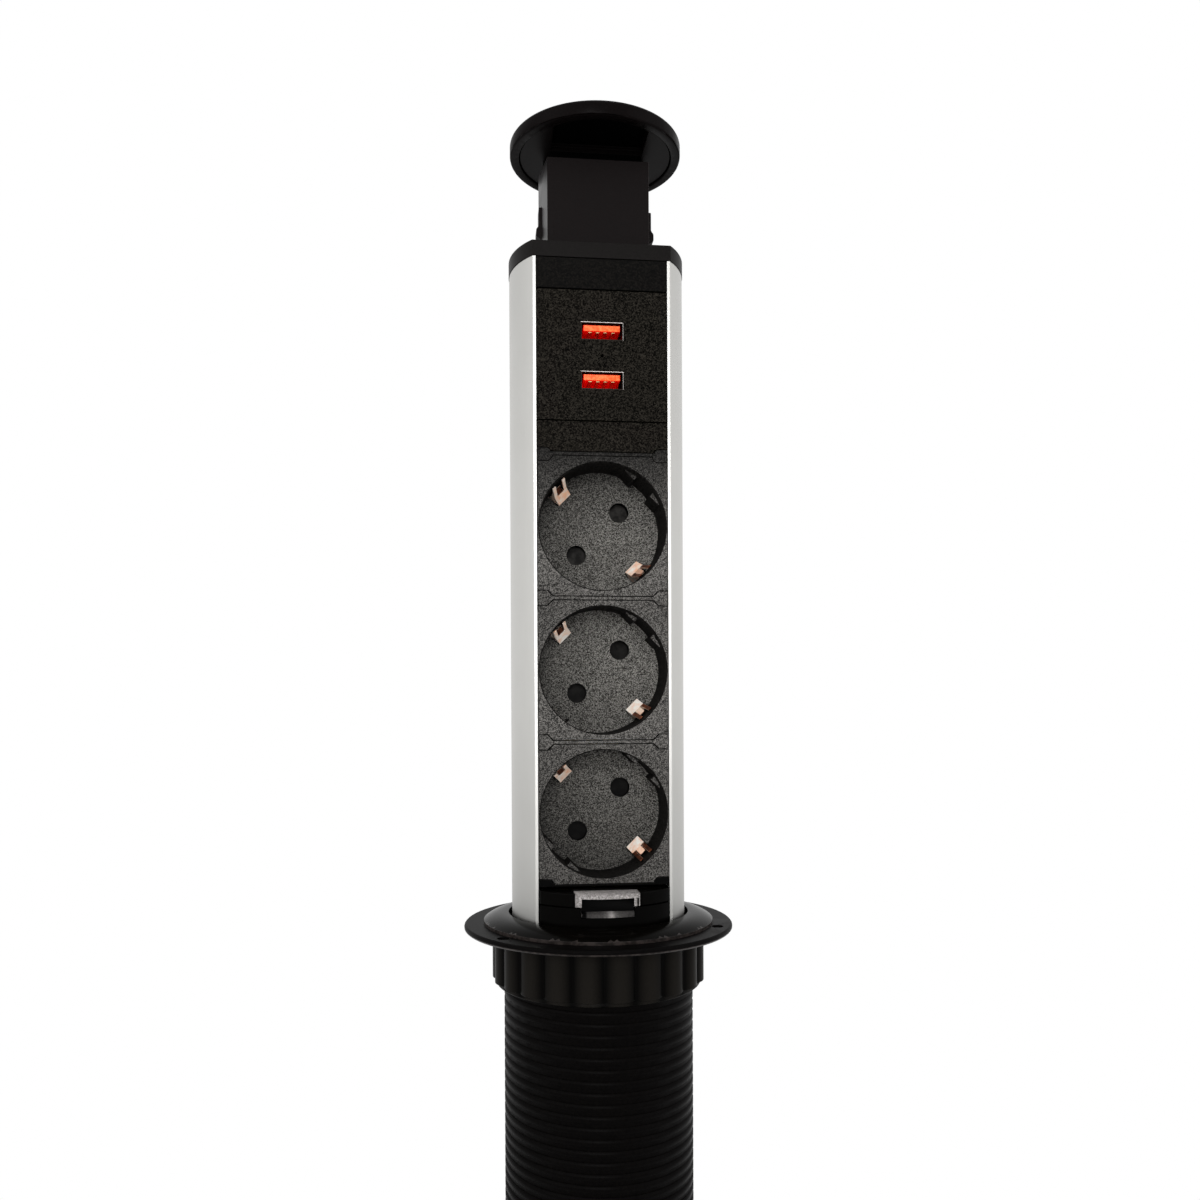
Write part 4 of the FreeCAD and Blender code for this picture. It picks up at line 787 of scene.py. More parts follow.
def smoothed(mesh: Mesh, angle: float = SHARP) -> Mesh:
    """Shades a mesh smooth.

    Args:
        mesh: the mesh.
        angle: the angle in degrees past which an edge stays sharp.

    Returns:
        The same mesh.
    """
    mesh.shade_smooth()
    mesh.set_sharp_from_angle(angle=math.radians(angle))
    return mesh


def rounded(mesh: Mesh, edge: float) -> Mesh:
    """Rounds the sharp edges of a mesh.

    Args:
        mesh: the mesh, shaded smooth with sharp edges marked.
        edge: the width of the rounding in millimetres.

    Returns:
        The rounded mesh.
    """
    holder = bpy.data.objects.new(mesh.name + "_holder", mesh)
    bpy.context.scene.collection.objects.link(holder)
    bevel = holder.modifiers.new("edge", "BEVEL")
    bevel.width = edge * MM
    bevel.segments = 2
    bevel.limit_method = "ANGLE"
    bevel.angle_limit = math.radians(SHARP)
    bevel.use_clamp_overlap = True
    bevel.harden_normals = True
    return settled(holder)


def install(node: str, mesh: Mesh, finish: Finish, body: Body) -> bpy.types.Object:
    """Puts a finished piece into the scene.

    Args:
        node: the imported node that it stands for.
        mesh: its final mesh.
        finish: its finish.
        body: the body that it rides on.

    Returns:
        The piece.
    """
    name = node + "_finished"
    mesh.name = name
    mesh.materials.clear()
    mesh.materials.append(finish.material())
    piece = bpy.data.objects.new(name, mesh)
    bpy.context.scene.collection.objects.link(piece)
    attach(piece, body.value)
    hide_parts(node)
    log.info("%s: %d faces", name, len(mesh.polygons))
    return piece


def dress(
    node: str,
    finish: Finish,
    edge: float = 0.0,
    body: Body = Body.TOWER,
    cuts: Sequence[tuple[Axis, float]] = (),
) -> bpy.types.Object:
    """Stands a joined, smoothly shaded copy of a node in for the node.

    Args:
        node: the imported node.
        finish: its finish.
        edge: the width of the rounding of its edges in millimetres, or 0.
        body: the body that it rides on.
        cuts: planes in millimetres that split its faces, so that parts can be painted.

    Returns:
        The piece.
    """
    shape = whole_copy(node)
    for axis, place in cuts:
        way = Vector([float(axis is each) for each in Axis])
        parts = [*shape.verts, *shape.edges, *shape.faces]
        bmesh.ops.bisect_plane(shape, geom=parts, plane_co=way * place * MM, plane_no=way)
    mesh = smoothed(new_mesh(node + "_whole", shape))
    if edge:
        mesh = rounded(mesh, edge)
    return install(node, mesh, finish, body)


def paint(piece: bpy.types.Object, finish: Finish, chosen: Callable[[Face], bool]) -> None:
    """Gives some faces of a piece another finish.

    Args:
        piece: the finished piece.
        finish: the other finish.
        chosen: tells whether a face gets it.
    """
    piece.data.materials.append(finish.material())
    number = len(piece.data.materials) - 1
    for face in piece.data.polygons:
        if chosen(face):
            face.material_index = number


# Sub-assemblies


@dataclass
class Screws:
    """A set of equal screws with a cross recess in their heads."""

    head_radius: float = 2.5
    head_height: float = 1.5
    brow: float = 0.2
    skirt_share: float = 0.35
    shank_radius: float = 1.35
    length: float = 10.0
    point: float = 1.0
    point_share: float = 0.4
    recess_half: float = 0.42
    recess_reach: float = 1.5
    recess_depth: float = 0.9
    recess_share: float = 0.8
    sides: int = 32
    crease: float = 30.0

    def one(self) -> Mesh:
        """Makes one screw, its head's top at the origin and its shank down -Z.

        Returns:
            The screw's mesh.
        """
        shape = bmesh.new()
        levels = (
            (self.head_radius - self.brow, 0.0),
            (self.head_radius, -self.brow),
            (self.head_radius, -self.head_height * self.skirt_share),
            (self.shank_radius, -self.head_height),
            (self.shank_radius, -self.length + self.point),
            (self.shank_radius * self.point_share, -self.length),
        )
        turns = [2 * math.pi * step / self.sides for step in range(self.sides)]
        circle = [(math.cos(turn), math.sin(turn)) for turn in turns]
        rings = [self._loop(shape, circle, radius, level) for radius, level in levels]
        for upper, lower in zip(rings, rings[1:]):
            self._band(shape, upper, lower)
        shape.faces.new(list(reversed(rings[-1])))
        a, b = self.recess_half, self.recess_reach
        cross = [
            (b, -a), (b, a), (a, a), (a, b), (-a, b), (-a, a),
            (-b, a), (-b, -a), (-a, -a), (-a, -b), (a, -b), (a, -a),
        ]
        rim = self._loop(shape, cross, 1.0, 0.0)
        floor = self._loop(shape, cross, self.recess_share, -self.recess_depth)
        edges = []
        for ring in (rings[0], rim):
            for pair in zip(ring, ring[1:] + ring[:1]):
                edges.append(shape.edges.get(pair) or shape.edges.new(pair))
        bmesh.ops.triangle_fill(shape, edges=edges, use_beauty=True)
        self._band(shape, floor, rim)
        shape.faces.new(floor)
        bmesh.ops.recalc_face_normals(shape, faces=shape.faces)
        return smoothed(new_mesh("screw_one", shape), self.crease)

    @staticmethod
    def _loop(
        shape: Edit, outline: Sequence[tuple[float, float]], share: float, level: float
    ) -> list[Corner]:
        """Adds a loop of vertices.

        Args:
            shape: the screw's edit mesh.
            outline: the loop's corners.
            share: what they are multiplied by, for millimetres.
            level: the loop's level in millimetres.

        Returns:
            The vertices in order.
        """
        return [shape.verts.new(Vector((x * share, y * share, level)) * MM) for x, y in outline]

    @staticmethod
    def _band(shape: Edit, upper: Sequence[Corner], lower: Sequence[Corner]) -> None:
        """Four-sided faces between two rings."""
        for first in range(len(upper)):
            after = (first + 1) % len(upper)
            shape.faces.new((upper[first], lower[first], lower[after], upper[after]))

    def put(self, node: str, places: Sequence[Point], up: bool) -> None:
        """Repeats the screw over places, and stands the set in for a node.

        Args:
            node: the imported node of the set.
            places: the head tops in millimetres.
            up: whether the heads face +Z.
        """
        sample = bpy.data.objects.new(node + "_sample", self.one())
        bpy.context.scene.collection.objects.link(sample)
        tree = Growth(node + "_set", {"Twist": 0.35, "Flip": 0.0 if up else math.pi})
        source = tree.node("GeometryNodeObjectInfo", {"Object": sample}, "Geometry")
        flip = tree.node("ShaderNodeCombineXYZ", {0: tree.given("Flip")})
        limits = {2: -3.0, 3: 3.0, "Seed": 7}
        spin = tree.node("FunctionNodeRandomValue", limits, 1, data_type="FLOAT")
        tilt = tree.node("ShaderNodeCombineXYZ", {2: spin * tree.given("Twist")})
        turn = tree.node("ShaderNodeVectorMath", {0: flip, 1: tilt}, operation="ADD")
        inputs = {"Points": tree.given("Seed points"), "Instance": source, "Rotation": turn}
        spots = tree.node("GeometryNodeInstanceOnPoints", inputs)
        mesh = tree.grow(spots, SCREW_STEEL, places)
        bpy.data.objects.remove(sample)
        install(node, mesh, SCREW_STEEL, Body.TOWER)


@dataclass
class Shell:
    """The extruded silver shell with the black top plate and the lifting neck."""

    port_reach: float = 23.9
    port_side_angle: float = 12.0
    shell_edge: float = 0.15
    plate_edge: float = 0.5
    neck_edge: float = 0.5
    clip_edge: float = 0.3
    cap_edge: float = 0.3
    cap_base_edge: float = 0.15
    collar_foot: float = 236.9
    slant: float = 0.3
    side_look: float = 0.7

    def build(self) -> None:
        """Makes the shell, the plate, the neck and the cap."""
        dress("tower_shell", SHELL_SILVER, self.shell_edge)
        dress("top_plate", PLATE_BLACK, self.plate_edge)
        neck = dress("neck", NECK_BLACK, self.neck_edge)
        # Painted sheen on the neck's left face.
        paint(neck, NECK_SIDE_SHEEN, lambda face: face.normal.x < -self.side_look)
        # Painted highlight on the neck's right front corner.
        paint(neck, NECK_CORNER_HIGHLIGHT, self.on_front_corner)
        # Painted shade on the neck's collar under the cap.
        paint(neck, HOLLOW_SHADE_BLACK, lambda face: face.center.z > self.collar_foot * MM)
        for side in ("left", "right"):
            dress(f"neck_clip_{side}", NECK_BLACK, self.clip_edge)
        cap = dress("cap", CAP_BLACK, self.cap_edge)
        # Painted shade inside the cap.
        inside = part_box("cap_base")[1].z + TOUCH * MM
        paint(cap, HOLLOW_SHADE_BLACK, lambda face: face.center.z > inside and face.normal.z < -LEANING)
        dress("cap_base", CAP_BASE_BLACK, self.cap_base_edge)
        Screws().put("plate_screws", self.screw_places(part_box("plate_screws")[1].z), True)

    def on_front_corner(self, face: Face) -> bool:
        """Whether a face of the neck lies on its right front corner, where a highlight is painted.
        """
        return face.normal.x > self.slant and face.normal.y < -self.slant

    def screw_places(self, level: float) -> list[Point]:
        """Finds the screw ports.

        Args:
            level: the level of the places in metres.

        Returns:
            The places in millimetres.
        """
        angle = math.radians(self.port_side_angle)
        x, y, z = self.port_reach * math.cos(angle), self.port_reach * math.sin(angle), level / MM
        return [(x, y, z), (-x, y, z), (0, self.port_reach, z)]


@dataclass
class ChargingPanel:
    """The black panel with the two charging ports, and what stands behind it."""

    ports: tuple[int, ...] = (1, 2)
    panel_edge: float = 0.2
    port_lip: float = 0.3
    port_half: float = 6.3
    port_mouth: float = -17.4
    port_end: float = -4.2
    lip_plane: float = -17.0
    tongue_edge: float = 0.35
    contact_edge: float = 0.04
    part_edge: float = 0.3
    can_edge: float = 0.25

    def build(self) -> None:
        """Makes the spacers, the panel, the ports and the board."""
        dress("upper_spacer", SPACER_BLACK, self.panel_edge)
        for node in ("usb_panel", "lower_spacer"):
            dress(node, PANEL_BLACK, self.panel_edge)
        for number in self.ports:
            self._port(f"usb_port_{number}")
            self._tongue(f"usb_tongue_{number}")
        dress("usb_contacts", GOLD_PLATE, self.contact_edge)
        dress("usb_board", BOARD_GREEN)
        dress("usb_transformer", PART_BLACK, self.part_edge)
        dress("usb_capacitors", CAN_SILVER, self.can_edge)

    def _port(self, node: str) -> None:
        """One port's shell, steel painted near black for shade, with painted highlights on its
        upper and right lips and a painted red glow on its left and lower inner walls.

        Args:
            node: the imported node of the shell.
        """
        low, high = (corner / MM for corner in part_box(node))
        lip = self.port_lip
        floor, right, top = low.z + lip, high.x - lip / 2, high.z - lip / 2
        cuts = ((Axis.UP, floor), (Axis.UP, top), (Axis.ACROSS, right))
        shell = dress(node, PORT_STEEL_SHADE, cuts=cuts)
        # Painted highlights on the right and upper lips, and a painted red glow on the inner walls.
        paint(shell, PORT_RIGHT_HIGHLIGHT, lambda face: self.on_lip(face) and face.center.x > right * MM)
        paint(shell, PORT_TOP_HIGHLIGHT, lambda face: self.on_lip(face) and face.center.z > top * MM)
        paint(shell, TONGUE_GLOW_RED, self.in_painted_glow)

    def _tongue(self, node: str) -> None:
        """One port's tongue, orange at the front, with a painted red glow on its other faces."""
        # Painted red glow on all but the orange front.
        tongue = dress(node, TONGUE_GLOW_RED, self.tongue_edge)
        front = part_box(node)[0].y + TOUCH * MM
        paint(tongue, TONGUE_ORANGE, lambda face: face.center.y < front and face.normal.y < -FLUSH)

    def in_painted_glow(self, face: Face) -> bool:
        """Whether a face is the left or lower wall inside a port's shell, where a red glow is
        painted.
        """
        x, y, _ = face.center / MM
        inside = abs(x) < self.port_half and self.port_mouth < y < self.port_end
        return inside and (face.normal.x > LEANING or face.normal.z > LEANING)

    def on_lip(self, face: Face) -> bool:
        """Whether a face of a port's shell lies on its front lip."""
        return face.normal.y < -SQUARE and face.center.y < self.lip_plane * MM


@dataclass
class SocketStack:
    """The three socket modules with their clips, contacts, shutters and bars."""

    floor_plane: float = -2.7
    rim_plane: float = -17.3
    edge_depth: float = 2.5
    recess_radius: float = 19.1
    centres: tuple[float, ...] = (123.1, 80.1, 37.1)
    notch_half: float = 1.45
    knee_depth: float = -7.2
    tip_depth: float = -8.9
    module_edge: float = 0.18
    bow_edge: float = 0.12
    shutter_edge: float = 0.15
    strip_edge: float = 0.1
    floor_slack: float = 0.3
    wall_slack: float = 0.15
    slack: float = 0.1
    notch_look: float = 0.6

    def build(self) -> None:
        """Makes each module and the strips and bars between them."""
        shutters = (Body.SHUTTER_1, Body.SHUTTER_2, Body.SHUTTER_3)
        for number, (centre, body) in enumerate(zip(self.centres, shutters), 1):
            self._module(number)
            self._bow(number, centre)
            dress(f"contact_carrier_{number}", BLACK_AND_HOLE_SHADE)
            dress(f"pin_contacts_{number}", CONTACT_BRASS)
            dress(f"shutter_{number}", SHUTTER_GREY, self.shutter_edge, body)
            dress(f"shutter_spring_{number}", SPRING_STEEL)
        bars = (MODULE_CHARCOAL, MODULE_CHARCOAL, MODULE_CHARCOAL, BLACK_AND_HOLE_SHADE)
        for number, finish in enumerate(bars, 1):
            bar = dress(f"joint_bar_{number}", finish, self.strip_edge)
            # Painted shade on the bars' rounded edges and sides.
            paint(bar, WALL_SHADE_BLACK, self.on_edge)
        for node in ("line_bar", "neutral_bar", "earth_bar"):
            dress(node, CONTACT_BRASS, self.strip_edge)

    def _module(self, number: int) -> None:
        """A module's front plate with its recess and pin holes."""
        socket = dress(f"socket_{number}", MODULE_CHARCOAL, self.module_edge)
        paint(socket, RECESS_CHARCOAL, self.on_recess_floor)
        # Painted shade: near black on the recess walls and on the module's rounded edges and sides.
        paint(socket, WALL_SHADE_BLACK, self.on_recess_wall)
        # Painted shade inside the pin holes.
        paint(socket, BLACK_AND_HOLE_SHADE, self.in_pin_hole)
        paint(socket, WALL_SHADE_BLACK, self.on_edge)

    def _bow(self, number: int, centre: float) -> None:
        """A module's earth bow, with painted sheen and painted shade laid out differently on its
        two clips.

        Args:
            number: the module's number from the top.
            centre: the level of its centre in millimetres.
        """
        bow = dress(f"earth_bow_{number}", COPPER_AND_SHEEN, self.bow_edge)
        # Painted sheen and shade on the clips' arms and tongues.
        for lower in (False, True):
            arm, tongue = (CLIP_SHADE_BROWN, ARM_PAINTED_LIGHT) if lower else (COPPER_AND_SHEEN, CLIP_SHADE_BROWN)
            paint(bow, arm, lambda face: self.on_arm(face, centre, lower))
            paint(bow, tongue, lambda face: self.on_tongue(face, centre, lower))

    @staticmethod
    def bow_spot(face: Face, centre: float) -> Point:
        """A clip face's place along and across the slanting clip, and its depth."""
        x, y, z = face.center / MM
        return ((x - z + centre) / math.sqrt(2), (x + z - centre) / math.sqrt(2), y)

    def on_arm(self, face: Face, centre: float, lower: bool) -> bool:
        """Whether a face lies on the arms of a clip's lower or upper end."""
        along, _, depth = self.bow_spot(face, centre)
        return depth < self.tip_depth and (along > 0) is lower

    def on_tongue(self, face: Face, centre: float, lower: bool) -> bool:
        """Whether a face lies on a clip's tongue or on the sides of its notch.

        Args:
            face: a face of an earth bow.
            centre: the level of the module's centre in millimetres.
            lower: whether the lower clip is meant.

        Returns:
            True if it does.
        """
        along, across, depth = self.bow_spot(face, centre)
        narrow = abs(across) < self.notch_half and depth < self.knee_depth
        sideways = abs(face.normal.x + face.normal.z) / math.sqrt(2) > self.notch_look
        return narrow and (depth > self.tip_depth or sideways) and (along > 0) is lower

    def on_edge(self, face: Face) -> bool:
        """Whether a face lies on the rounded front edge or the side of a module or bar, where shade
        is painted.
        """
        return face.normal.y > -FRONT and face.center.y / MM < self.rim_plane + self.edge_depth

    def on_recess_floor(self, face: Face) -> bool:
        """Whether a face of a module belongs to the floor of its recess."""
        level = abs(face.center.y / MM - self.floor_plane) < self.floor_slack
        return face.normal.y < -SQUARE and level

    def within(self, face: Face) -> bool:
        """Whether a face's centre lies within a recess's circle."""
        x, _, z = face.center / MM
        away = min(math.hypot(x, z - centre) for centre in self.centres)
        return away < self.recess_radius + self.slack

    def on_recess_wall(self, face: Face) -> bool:
        """Whether a face of a module stands round or in its recess, where shade is painted."""
        deep = self.rim_plane < face.center.y / MM < self.floor_plane - self.wall_slack
        return deep and face.normal.y > -FRONT and self.within(face)

    def in_pin_hole(self, face: Face) -> bool:
        """Whether a face of a module lies behind the floor of its recess, in the pin holes, where
        shade is painted.
        """
        return face.center.y / MM > self.floor_plane + self.slack and self.within(face)


@dataclass
class Base:
    """The glossy foot of the tower with the release button and the lead's gland."""

    housing_edge: float = 0.25
    collar_edge: float = 0.4
    button_edge: float = 0.2
    small_edge: float = 0.3
    button_front: float = -20.0
    window_half: float = 7.7
    window_low: float = 9.5
    window_high: float = 13.3
    shade_line_left: float = 8.6
    shade_line_right: float = 9.15
    window_rim: float = 0.3
    slack: float = 0.1
    shell: Shell = field(default_factory=Shell)

    def build(self) -> None:
        """Makes the housing, the button and the underside."""
        dress("base_housing", BASE_BLACK, self.housing_edge)
        dress("base_collar", BASE_BLACK, self.collar_edge)
        self._button()
        dress("button_spring", SPRING_STEEL)
        dress("bottom_plate", BASE_BLACK, self.small_edge)
        dress("cable_gland", PART_BLACK, self.small_edge)
        dress("terminal_block", TERMINAL_WHITE, self.small_edge)
        dress("terminal_screws", SCREW_STEEL)
        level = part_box("bottom_screws")[0].z
        Screws().put("bottom_screws", self.shell.screw_places(level), False)

    def _button(self) -> None:
        """The button, with its dark window and the ledge under it, on which a reflection and a
        highlight are painted.
        """
        sides = ((Axis.ACROSS, self.shade_line_left), (Axis.ACROSS, self.shade_line_right))
        button = dress(
            "release_button", BUTTON_GREY, self.button_edge, Body.BUTTON,
            (*sides, (Axis.UP, self.window_high)),
        )
        # Painted shade: a dark line down the button's right leg.
        paint(button, BASE_BLACK, self.in_leg_shade_line)
        paint(button, BLACK_AND_HOLE_SHADE, self.in_window)
        # Painted reflection and highlight on the ledge under the window.
        ledge = (self.window_low - self.window_rim) * MM
        paint(button, LEDGE_REFLECTION, lambda face: face.center.z < ledge)

    def in_leg_shade_line(self, face: Face) -> bool:
        """Whether a face of the button lies in the dark line of painted shade down its right leg.
        """
        x, _, z = face.center / MM
        across = self.shade_line_left < x < self.shade_line_right
        low = z < self.window_high + self.window_rim
        return across and low and face.normal.z < LEANING

    def in_window(self, face: Face) -> bool:
        """Whether a face of the button lies in its window."""
        x, y, z = face.center / MM
        across = abs(x) < self.window_half + self.slack
        along = self.window_low - self.slack < z < self.window_high + self.slack
        return across and along and y < self.button_front


@dataclass
class WorktopFitting:
    """The flange and its threaded barrel, the trim, the seal and the clamping nut."""

    tube_radius: float = 29.45
    tube_top: float = 0.3
    tube_slack: float = 0.15
    crest_radius: float = 29.64
    root_radius: float = 28.85
    pitch: float = 3.35
    crest_width: float = 1.7
    root_width: float = 2.6
    sunk: float = 0.12
    thread_top: float = -1.2
    thread_bottom: float = -282.1
    thread_crease: float = 75.0
    steps_per_turn: int = 96
    barrel_edge: float = 0.2
    rim_band: float = 0.35
    rim_look: float = -0.2
    nut_edge: float = 0.18
    trim_edge: float = 0.3
    seal_edge: float = 0.15
    bush_edge: float = 0.1
    grip_edge: float = 0.2
    nut_bore: float = 29.7
    bore_reach: float = 0.5
    collar_radius: float = 32.1
    collar_foot_inset: float = 0.35
    foot_level: float = 0.5
    collar_level: float = 1.5
    lobe_level: float = 3.2
    foot_rise: float = 1.3
    collar_rise: float = 0.65
    lobe_rise: float = -0.4

    def build(self) -> None:
        """Makes the barrel with its thread, and the parts round it."""
        barrel = Body.BARREL
        self._barrel()
        trim = dress("trim_ring", TRIM_BLACK, self.trim_edge, barrel)
        # Painted highlight round the trim ring's rim.
        paint(trim, RIM_HIGHLIGHT, self.past_rim("trim_ring"))
        dress("seal_ring", RUBBER_BLACK, self.seal_edge, barrel)
        dress("guide_bush", PART_BLACK, self.bush_edge, barrel)
        dress("barrel_end_ring", BARREL_BLACK, self.trim_edge, barrel)
        dress("grip_ring", RUBBER_BLACK, self.grip_edge, Body.NUT_RIDER)
        self._nut()

    def past_rim(self, node: str, look: float = math.inf) -> Callable[[Face], bool]:
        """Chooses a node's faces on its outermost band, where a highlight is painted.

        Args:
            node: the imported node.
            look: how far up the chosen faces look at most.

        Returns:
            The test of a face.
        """
        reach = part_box(node)[1].x - self.rim_band * MM
        return lambda face: math.hypot(*face.center.xy) > reach and face.normal.z < look

    def _nut(self) -> None:
        """The nut, with the edge of its collar filled out."""
        shape = whole_copy("clamp_nut")
        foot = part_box("clamp_nut")[0].z / MM
        levels = (self.foot_level, self.collar_level, self.lobe_level)
        rises = (self.foot_rise, self.collar_rise, self.lobe_rise)
        for vertex in shape.verts:
            radius = math.hypot(*vertex.co.xy) / MM
            height = vertex.co.z / MM - foot
            inset = self.collar_foot_inset if height < self.foot_level else 0.0
            if height < self.collar_level and radius > self.nut_bore + self.bore_reach:
                vertex.co.xy *= (self.collar_radius - inset) / radius
            reached = [rise for level, rise in zip(levels, rises) if height < level]
            vertex.co.z += (reached[0] if reached else 0.0) * MM
        mesh = rounded(smoothed(new_mesh("clamp_nut_whole", shape)), self.nut_edge)
        install("clamp_nut", mesh, NUT_BLACK, Body.NUT)

    def _barrel(self) -> None:
        """The flange and tube at the thread's root, joined with the helical ridge."""
        shape = whole_copy("threaded_barrel")
        for vertex in shape.verts:
            radius = math.hypot(*vertex.co.xy) / MM
            outside = abs(radius - self.tube_radius) < self.tube_slack
            if outside and vertex.co.z < self.tube_top * MM:
                vertex.co.xy *= self.root_radius / radius
        both = bmesh.new()
        both.from_mesh(rounded(smoothed(new_mesh("barrel_tube", shape)), self.barrel_edge))
        both.from_mesh(smoothed(self._thread(), self.thread_crease))
        mesh = new_mesh("barrel_whole", both)
        piece = install("threaded_barrel", mesh, BARREL_BLACK, Body.BARREL)
        # Painted shade between the thread's crests.
        paint(piece, GROOVE_SHADE_BLACK, self.in_groove)
        # Painted highlight on the flange's lower rim.
        paint(piece, RIM_HIGHLIGHT, self.past_rim("threaded_barrel", self.rim_look))

    def in_groove(self, face: Face) -> bool:
        """Whether a face of the barrel lies between the crests of its thread, where shade is
        painted.
        """
        x, y, z = face.center / MM
        return z < self.thread_top and math.hypot(x, y) < self.root_radius + TOUCH

    def _thread(self) -> Mesh:
        """Sweeps the thread's profile along a helix.

        Returns:
            The helical ridge.
        """
        height = self.thread_top - self.thread_bottom
        foot = self.root_radius - self.sunk
        sizes = {
            "Steps": self.steps_per_turn,
            "Turns": height / self.pitch,
            "Radius": (self.crest_radius + foot) / 2 * MM,
            "Height": height * MM,
            "Bottom": self.thread_bottom * MM,
            "Crest width": self.crest_width * MM,
            "Root width": self.root_width * MM,
            "Depth": (self.crest_radius - foot) * MM,
        }
        tree = Growth("thread_ridge", sizes)
        steps, turns, radius, rise, bottom, crest, root, depth = map(tree.given, sizes)
        spiral = {
            "Resolution": steps, "Rotations": turns, "Height": rise,
            "Start Radius": radius, "End Radius": radius,
        }
        helix = tree.node("GeometryNodeCurveSpiral", spiral)
        upright = tree.node("GeometryNodeSetCurveNormal", {0: helix}, mode="Z_UP")
        widths = {"Height": depth, "Bottom Width": root, "Top Width": crest, "Offset": 0.0}
        flat = "GeometryNodeCurvePrimitiveQuadrilateral"
        profile = tree.node(flat, widths, mode="TRAPEZOID")
        quarter = {"Geometry": profile, "Rotation": (0, 0, math.pi / 2)}
        turned = tree.node("GeometryNodeTransform", quarter)
        sweep = {0: upright, 1: turned, "Fill Caps": True}
        ridge = tree.node("GeometryNodeCurveToMesh", sweep)
        drop = tree.node("ShaderNodeCombineXYZ", {2: bottom})
        lowered = tree.node("GeometryNodeTransform", {"Geometry": ridge, "Translation": drop})
        return tree.grow(lowered, BARREL_BLACK)


# Studio


@dataclass
class Softbox:
    """A soft lamp that looks at a point, in metres and watts."""

    name: str
    place: Point
    aim: Point
    width: float
    height: float
    power: float

    def build(self) -> None:
        """Adds the lamp."""
        lamp = bpy.data.lights.new(self.name, "AREA")
        lamp.shape = "RECTANGLE"
        lamp.size = self.width
        lamp.size_y = self.height
        lamp.energy = self.power
        holder = bpy.data.objects.new(self.name, lamp)
        holder.location = self.place
        way = Vector(self.aim) - Vector(self.place)
        holder.rotation_mode = "QUATERNION"
        holder.rotation_quaternion = way.to_track_quat("-Z", "Y")
        bpy.context.scene.collection.objects.link(holder)


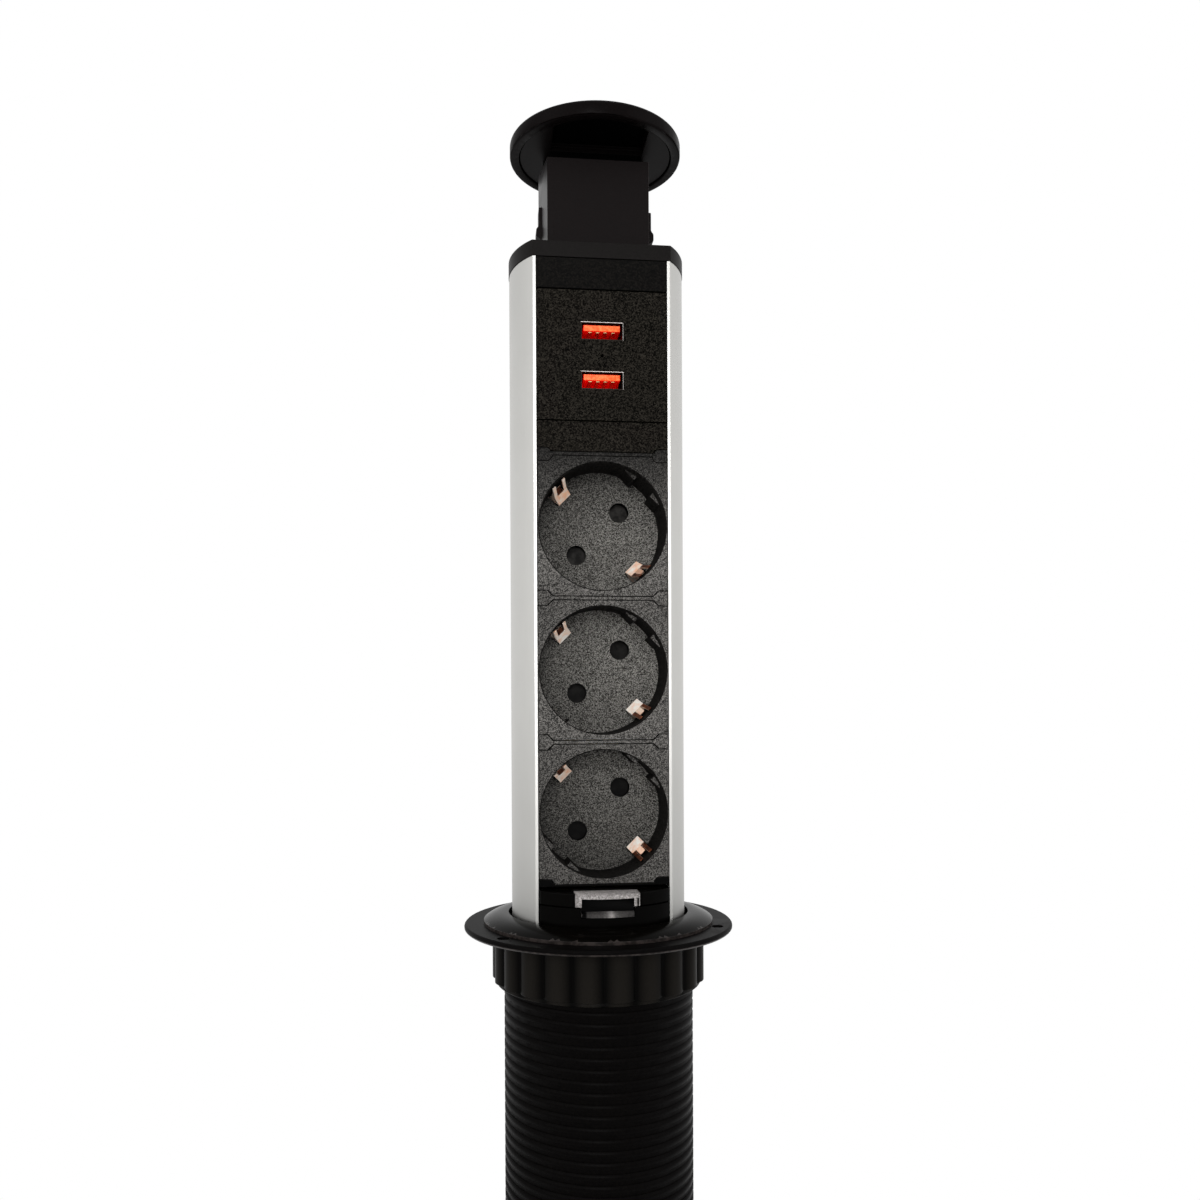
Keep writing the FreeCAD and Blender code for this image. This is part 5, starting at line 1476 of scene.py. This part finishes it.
@dataclass
class Studio:
    """A pale floor, a white surround and soft lamps."""

    floor_level: float = -287.2
    floor_reach: float = 2.5
    floor_sides: int = 96
    floor_tone: Colour = (0.86, 0.86, 0.86)
    floor_speck: float = 3.0
    floor_depth: float = 0.985
    floor_roughness: float = 0.9
    floor_gloss: float = 0.1
    shadow_near: float = 0.15
    shadow_far: float = 0.38
    surround: float = 0.4
    lamps: tuple[Softbox, ...] = (
        Softbox("lamp_left", (-1.1, -0.75, 0.45), (0, 0, 0.08), 0.9, 1.3, 6.0),
        Softbox("lamp_right", (1.15, -0.65, 0.4), (0, 0, 0.08), 0.8, 1.2, 4.0),
        Softbox("lamp_above", (0.1, -0.35, 1.3), (0, 0, 0.05), 0.9, 0.7, 3.0),
        Softbox("lamp_front", (-0.12, -1.0, 0.3), (0, 0, 0.1), 0.4, 0.4, 5.0),
    )

    def build(self) -> None:
        """Adds the floor, the surround and the lamps."""
        self._floor()
        self._surround()
        for lamp in self.lamps:
            lamp.build()
        bpy.context.scene.view_settings.view_transform = "Standard"

    def _floor(self) -> None:
        """A wide round floor under the barrel."""
        shape = bmesh.new()
        bmesh.ops.create_circle(
            shape, cap_ends=True, segments=self.floor_sides, radius=self.floor_reach
        )
        bmesh.ops.translate(shape, verts=shape.verts, vec=(0, 0, self.floor_level * MM))
        floor = bpy.data.objects.new("floor", new_mesh("floor", shape))
        material = bpy.data.materials.new("pale_floor")
        material.use_nodes = True
        recipe = Recipe(material.node_tree)
        recipe.node("ShaderNodeOutputMaterial", {"Surface": self._paper(recipe)})
        floor.data.materials.append(material)
        bpy.context.scene.collection.objects.link(floor)

    def _paper(self, recipe: Recipe) -> Signal:
        """Matt paper near the object, for its shadow, that turns white to the eye further off.

        Args:
            recipe: the floor's material.

        Returns:
            The shader.
        """
        speck = recipe.noise(self.floor_speck, recipe.place())
        low = tuple(tone * self.floor_depth for tone in self.floor_tone)
        inputs = {
            "Base Color": recipe.colour_mix(speck, low, self.floor_tone),
            "Roughness": self.floor_roughness,
            "Specular IOR Level": self.floor_gloss,
        }
        matt = recipe.node("ShaderNodeBsdfPrincipled", inputs)
        ends = {0: recipe.place(), 1: (0, 0, self.floor_level * MM)}
        distance = recipe.node("ShaderNodeVectorMath", ends, "Value", operation="DISTANCE")
        away = ((distance - self.shadow_near) / (self.shadow_far - self.shadow_near)).clipped()
        white = recipe.node("ShaderNodeEmission", {"Color": (1, 1, 1, 1), "Strength": 1.0})
        inputs = {0: away * self._seen(recipe), 1: matt, 2: white}
        return recipe.node("ShaderNodeMixShader", inputs)

    @staticmethod
    def _seen(recipe: Recipe) -> Signal:
        """One where the camera, gloss or glass looks, and nought for the light's own paths."""
        words = ("Is Camera Ray", "Is Glossy Ray", "Is Transmission Ray")
        rays = [recipe.node("ShaderNodeLightPath", output=word) for word in words]
        return (rays[0] + rays[1] + rays[2]).clipped()

    def _surround(self) -> None:
        """White to the camera, to gloss and through glass, and plain light to the rest."""
        world = bpy.data.worlds.new("surround")
        bpy.context.scene.world = world
        world.use_nodes = True
        recipe = Recipe(world.node_tree)
        light, white = (
            recipe.node("ShaderNodeBackground", {"Color": (1, 1, 1, 1), "Strength": strength})
            for strength in (self.surround, 1.0)
        )
        mixed = recipe.node("ShaderNodeMixShader", {0: self._seen(recipe), 1: light, 2: white})
        recipe.node("ShaderNodeOutputWorld", {"Surface": mixed})


@dataclass
class Viewpoint:
    """The camera at the photograph's viewpoint."""

    place: Point = (-36.1, -324.9, 70.2)
    yaw: float = 6.34
    pitch: float = -0.242
    roll: float = -0.26
    focal_pixels: float = 1035.07
    centre: tuple[float, float] = (597.3, 707.6)
    sensor: float = 36.0
    nearest: float = 0.01
    furthest: float = 20.0

    def build(self) -> None:
        """Adds the camera and makes it the scene's."""
        yaw, pitch, roll = (math.radians(angle) for angle in (self.yaw, self.pitch, self.roll))
        level = math.cos(pitch)
        look = Vector((math.sin(yaw) * level, math.cos(yaw) * level, math.sin(pitch)))
        right = Vector((math.cos(yaw), -math.sin(yaw), 0))
        up = right.cross(look)
        across = math.cos(roll) * right + math.sin(roll) * up
        upward = math.cos(roll) * up - math.sin(roll) * right
        camera = bpy.data.cameras.new("photo_camera")
        camera.sensor_width = self.sensor
        camera.lens = self.focal_pixels / PHOTO_WIDTH * self.sensor
        camera.shift_x = (PHOTO_WIDTH / 2 - self.centre[0]) / PHOTO_WIDTH
        camera.shift_y = (self.centre[1] - PHOTO_WIDTH / 2) / PHOTO_WIDTH
        camera.clip_start = self.nearest
        camera.clip_end = self.furthest
        holder = bpy.data.objects.new("photo_camera", camera)
        turn = Matrix((across, upward, -look)).transposed()
        holder.matrix_world = Matrix.Translation(Vector(self.place) * MM) @ turn.to_4x4()
        bpy.context.scene.collection.objects.link(holder)
        bpy.context.scene.camera = holder


def main() -> None:
    """Builds the finished tower, the studio and the camera."""
    logging.basicConfig(level=logging.INFO, format="%(message)s")
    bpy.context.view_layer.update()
    for assembly in (Shell(), ChargingPanel(), SocketStack(), Base(), WorktopFitting()):
        log.info("building %s", type(assembly).__name__)
        assembly.build()
    Studio().build()
    Viewpoint().build()


if __name__ == "__main__":
    main()
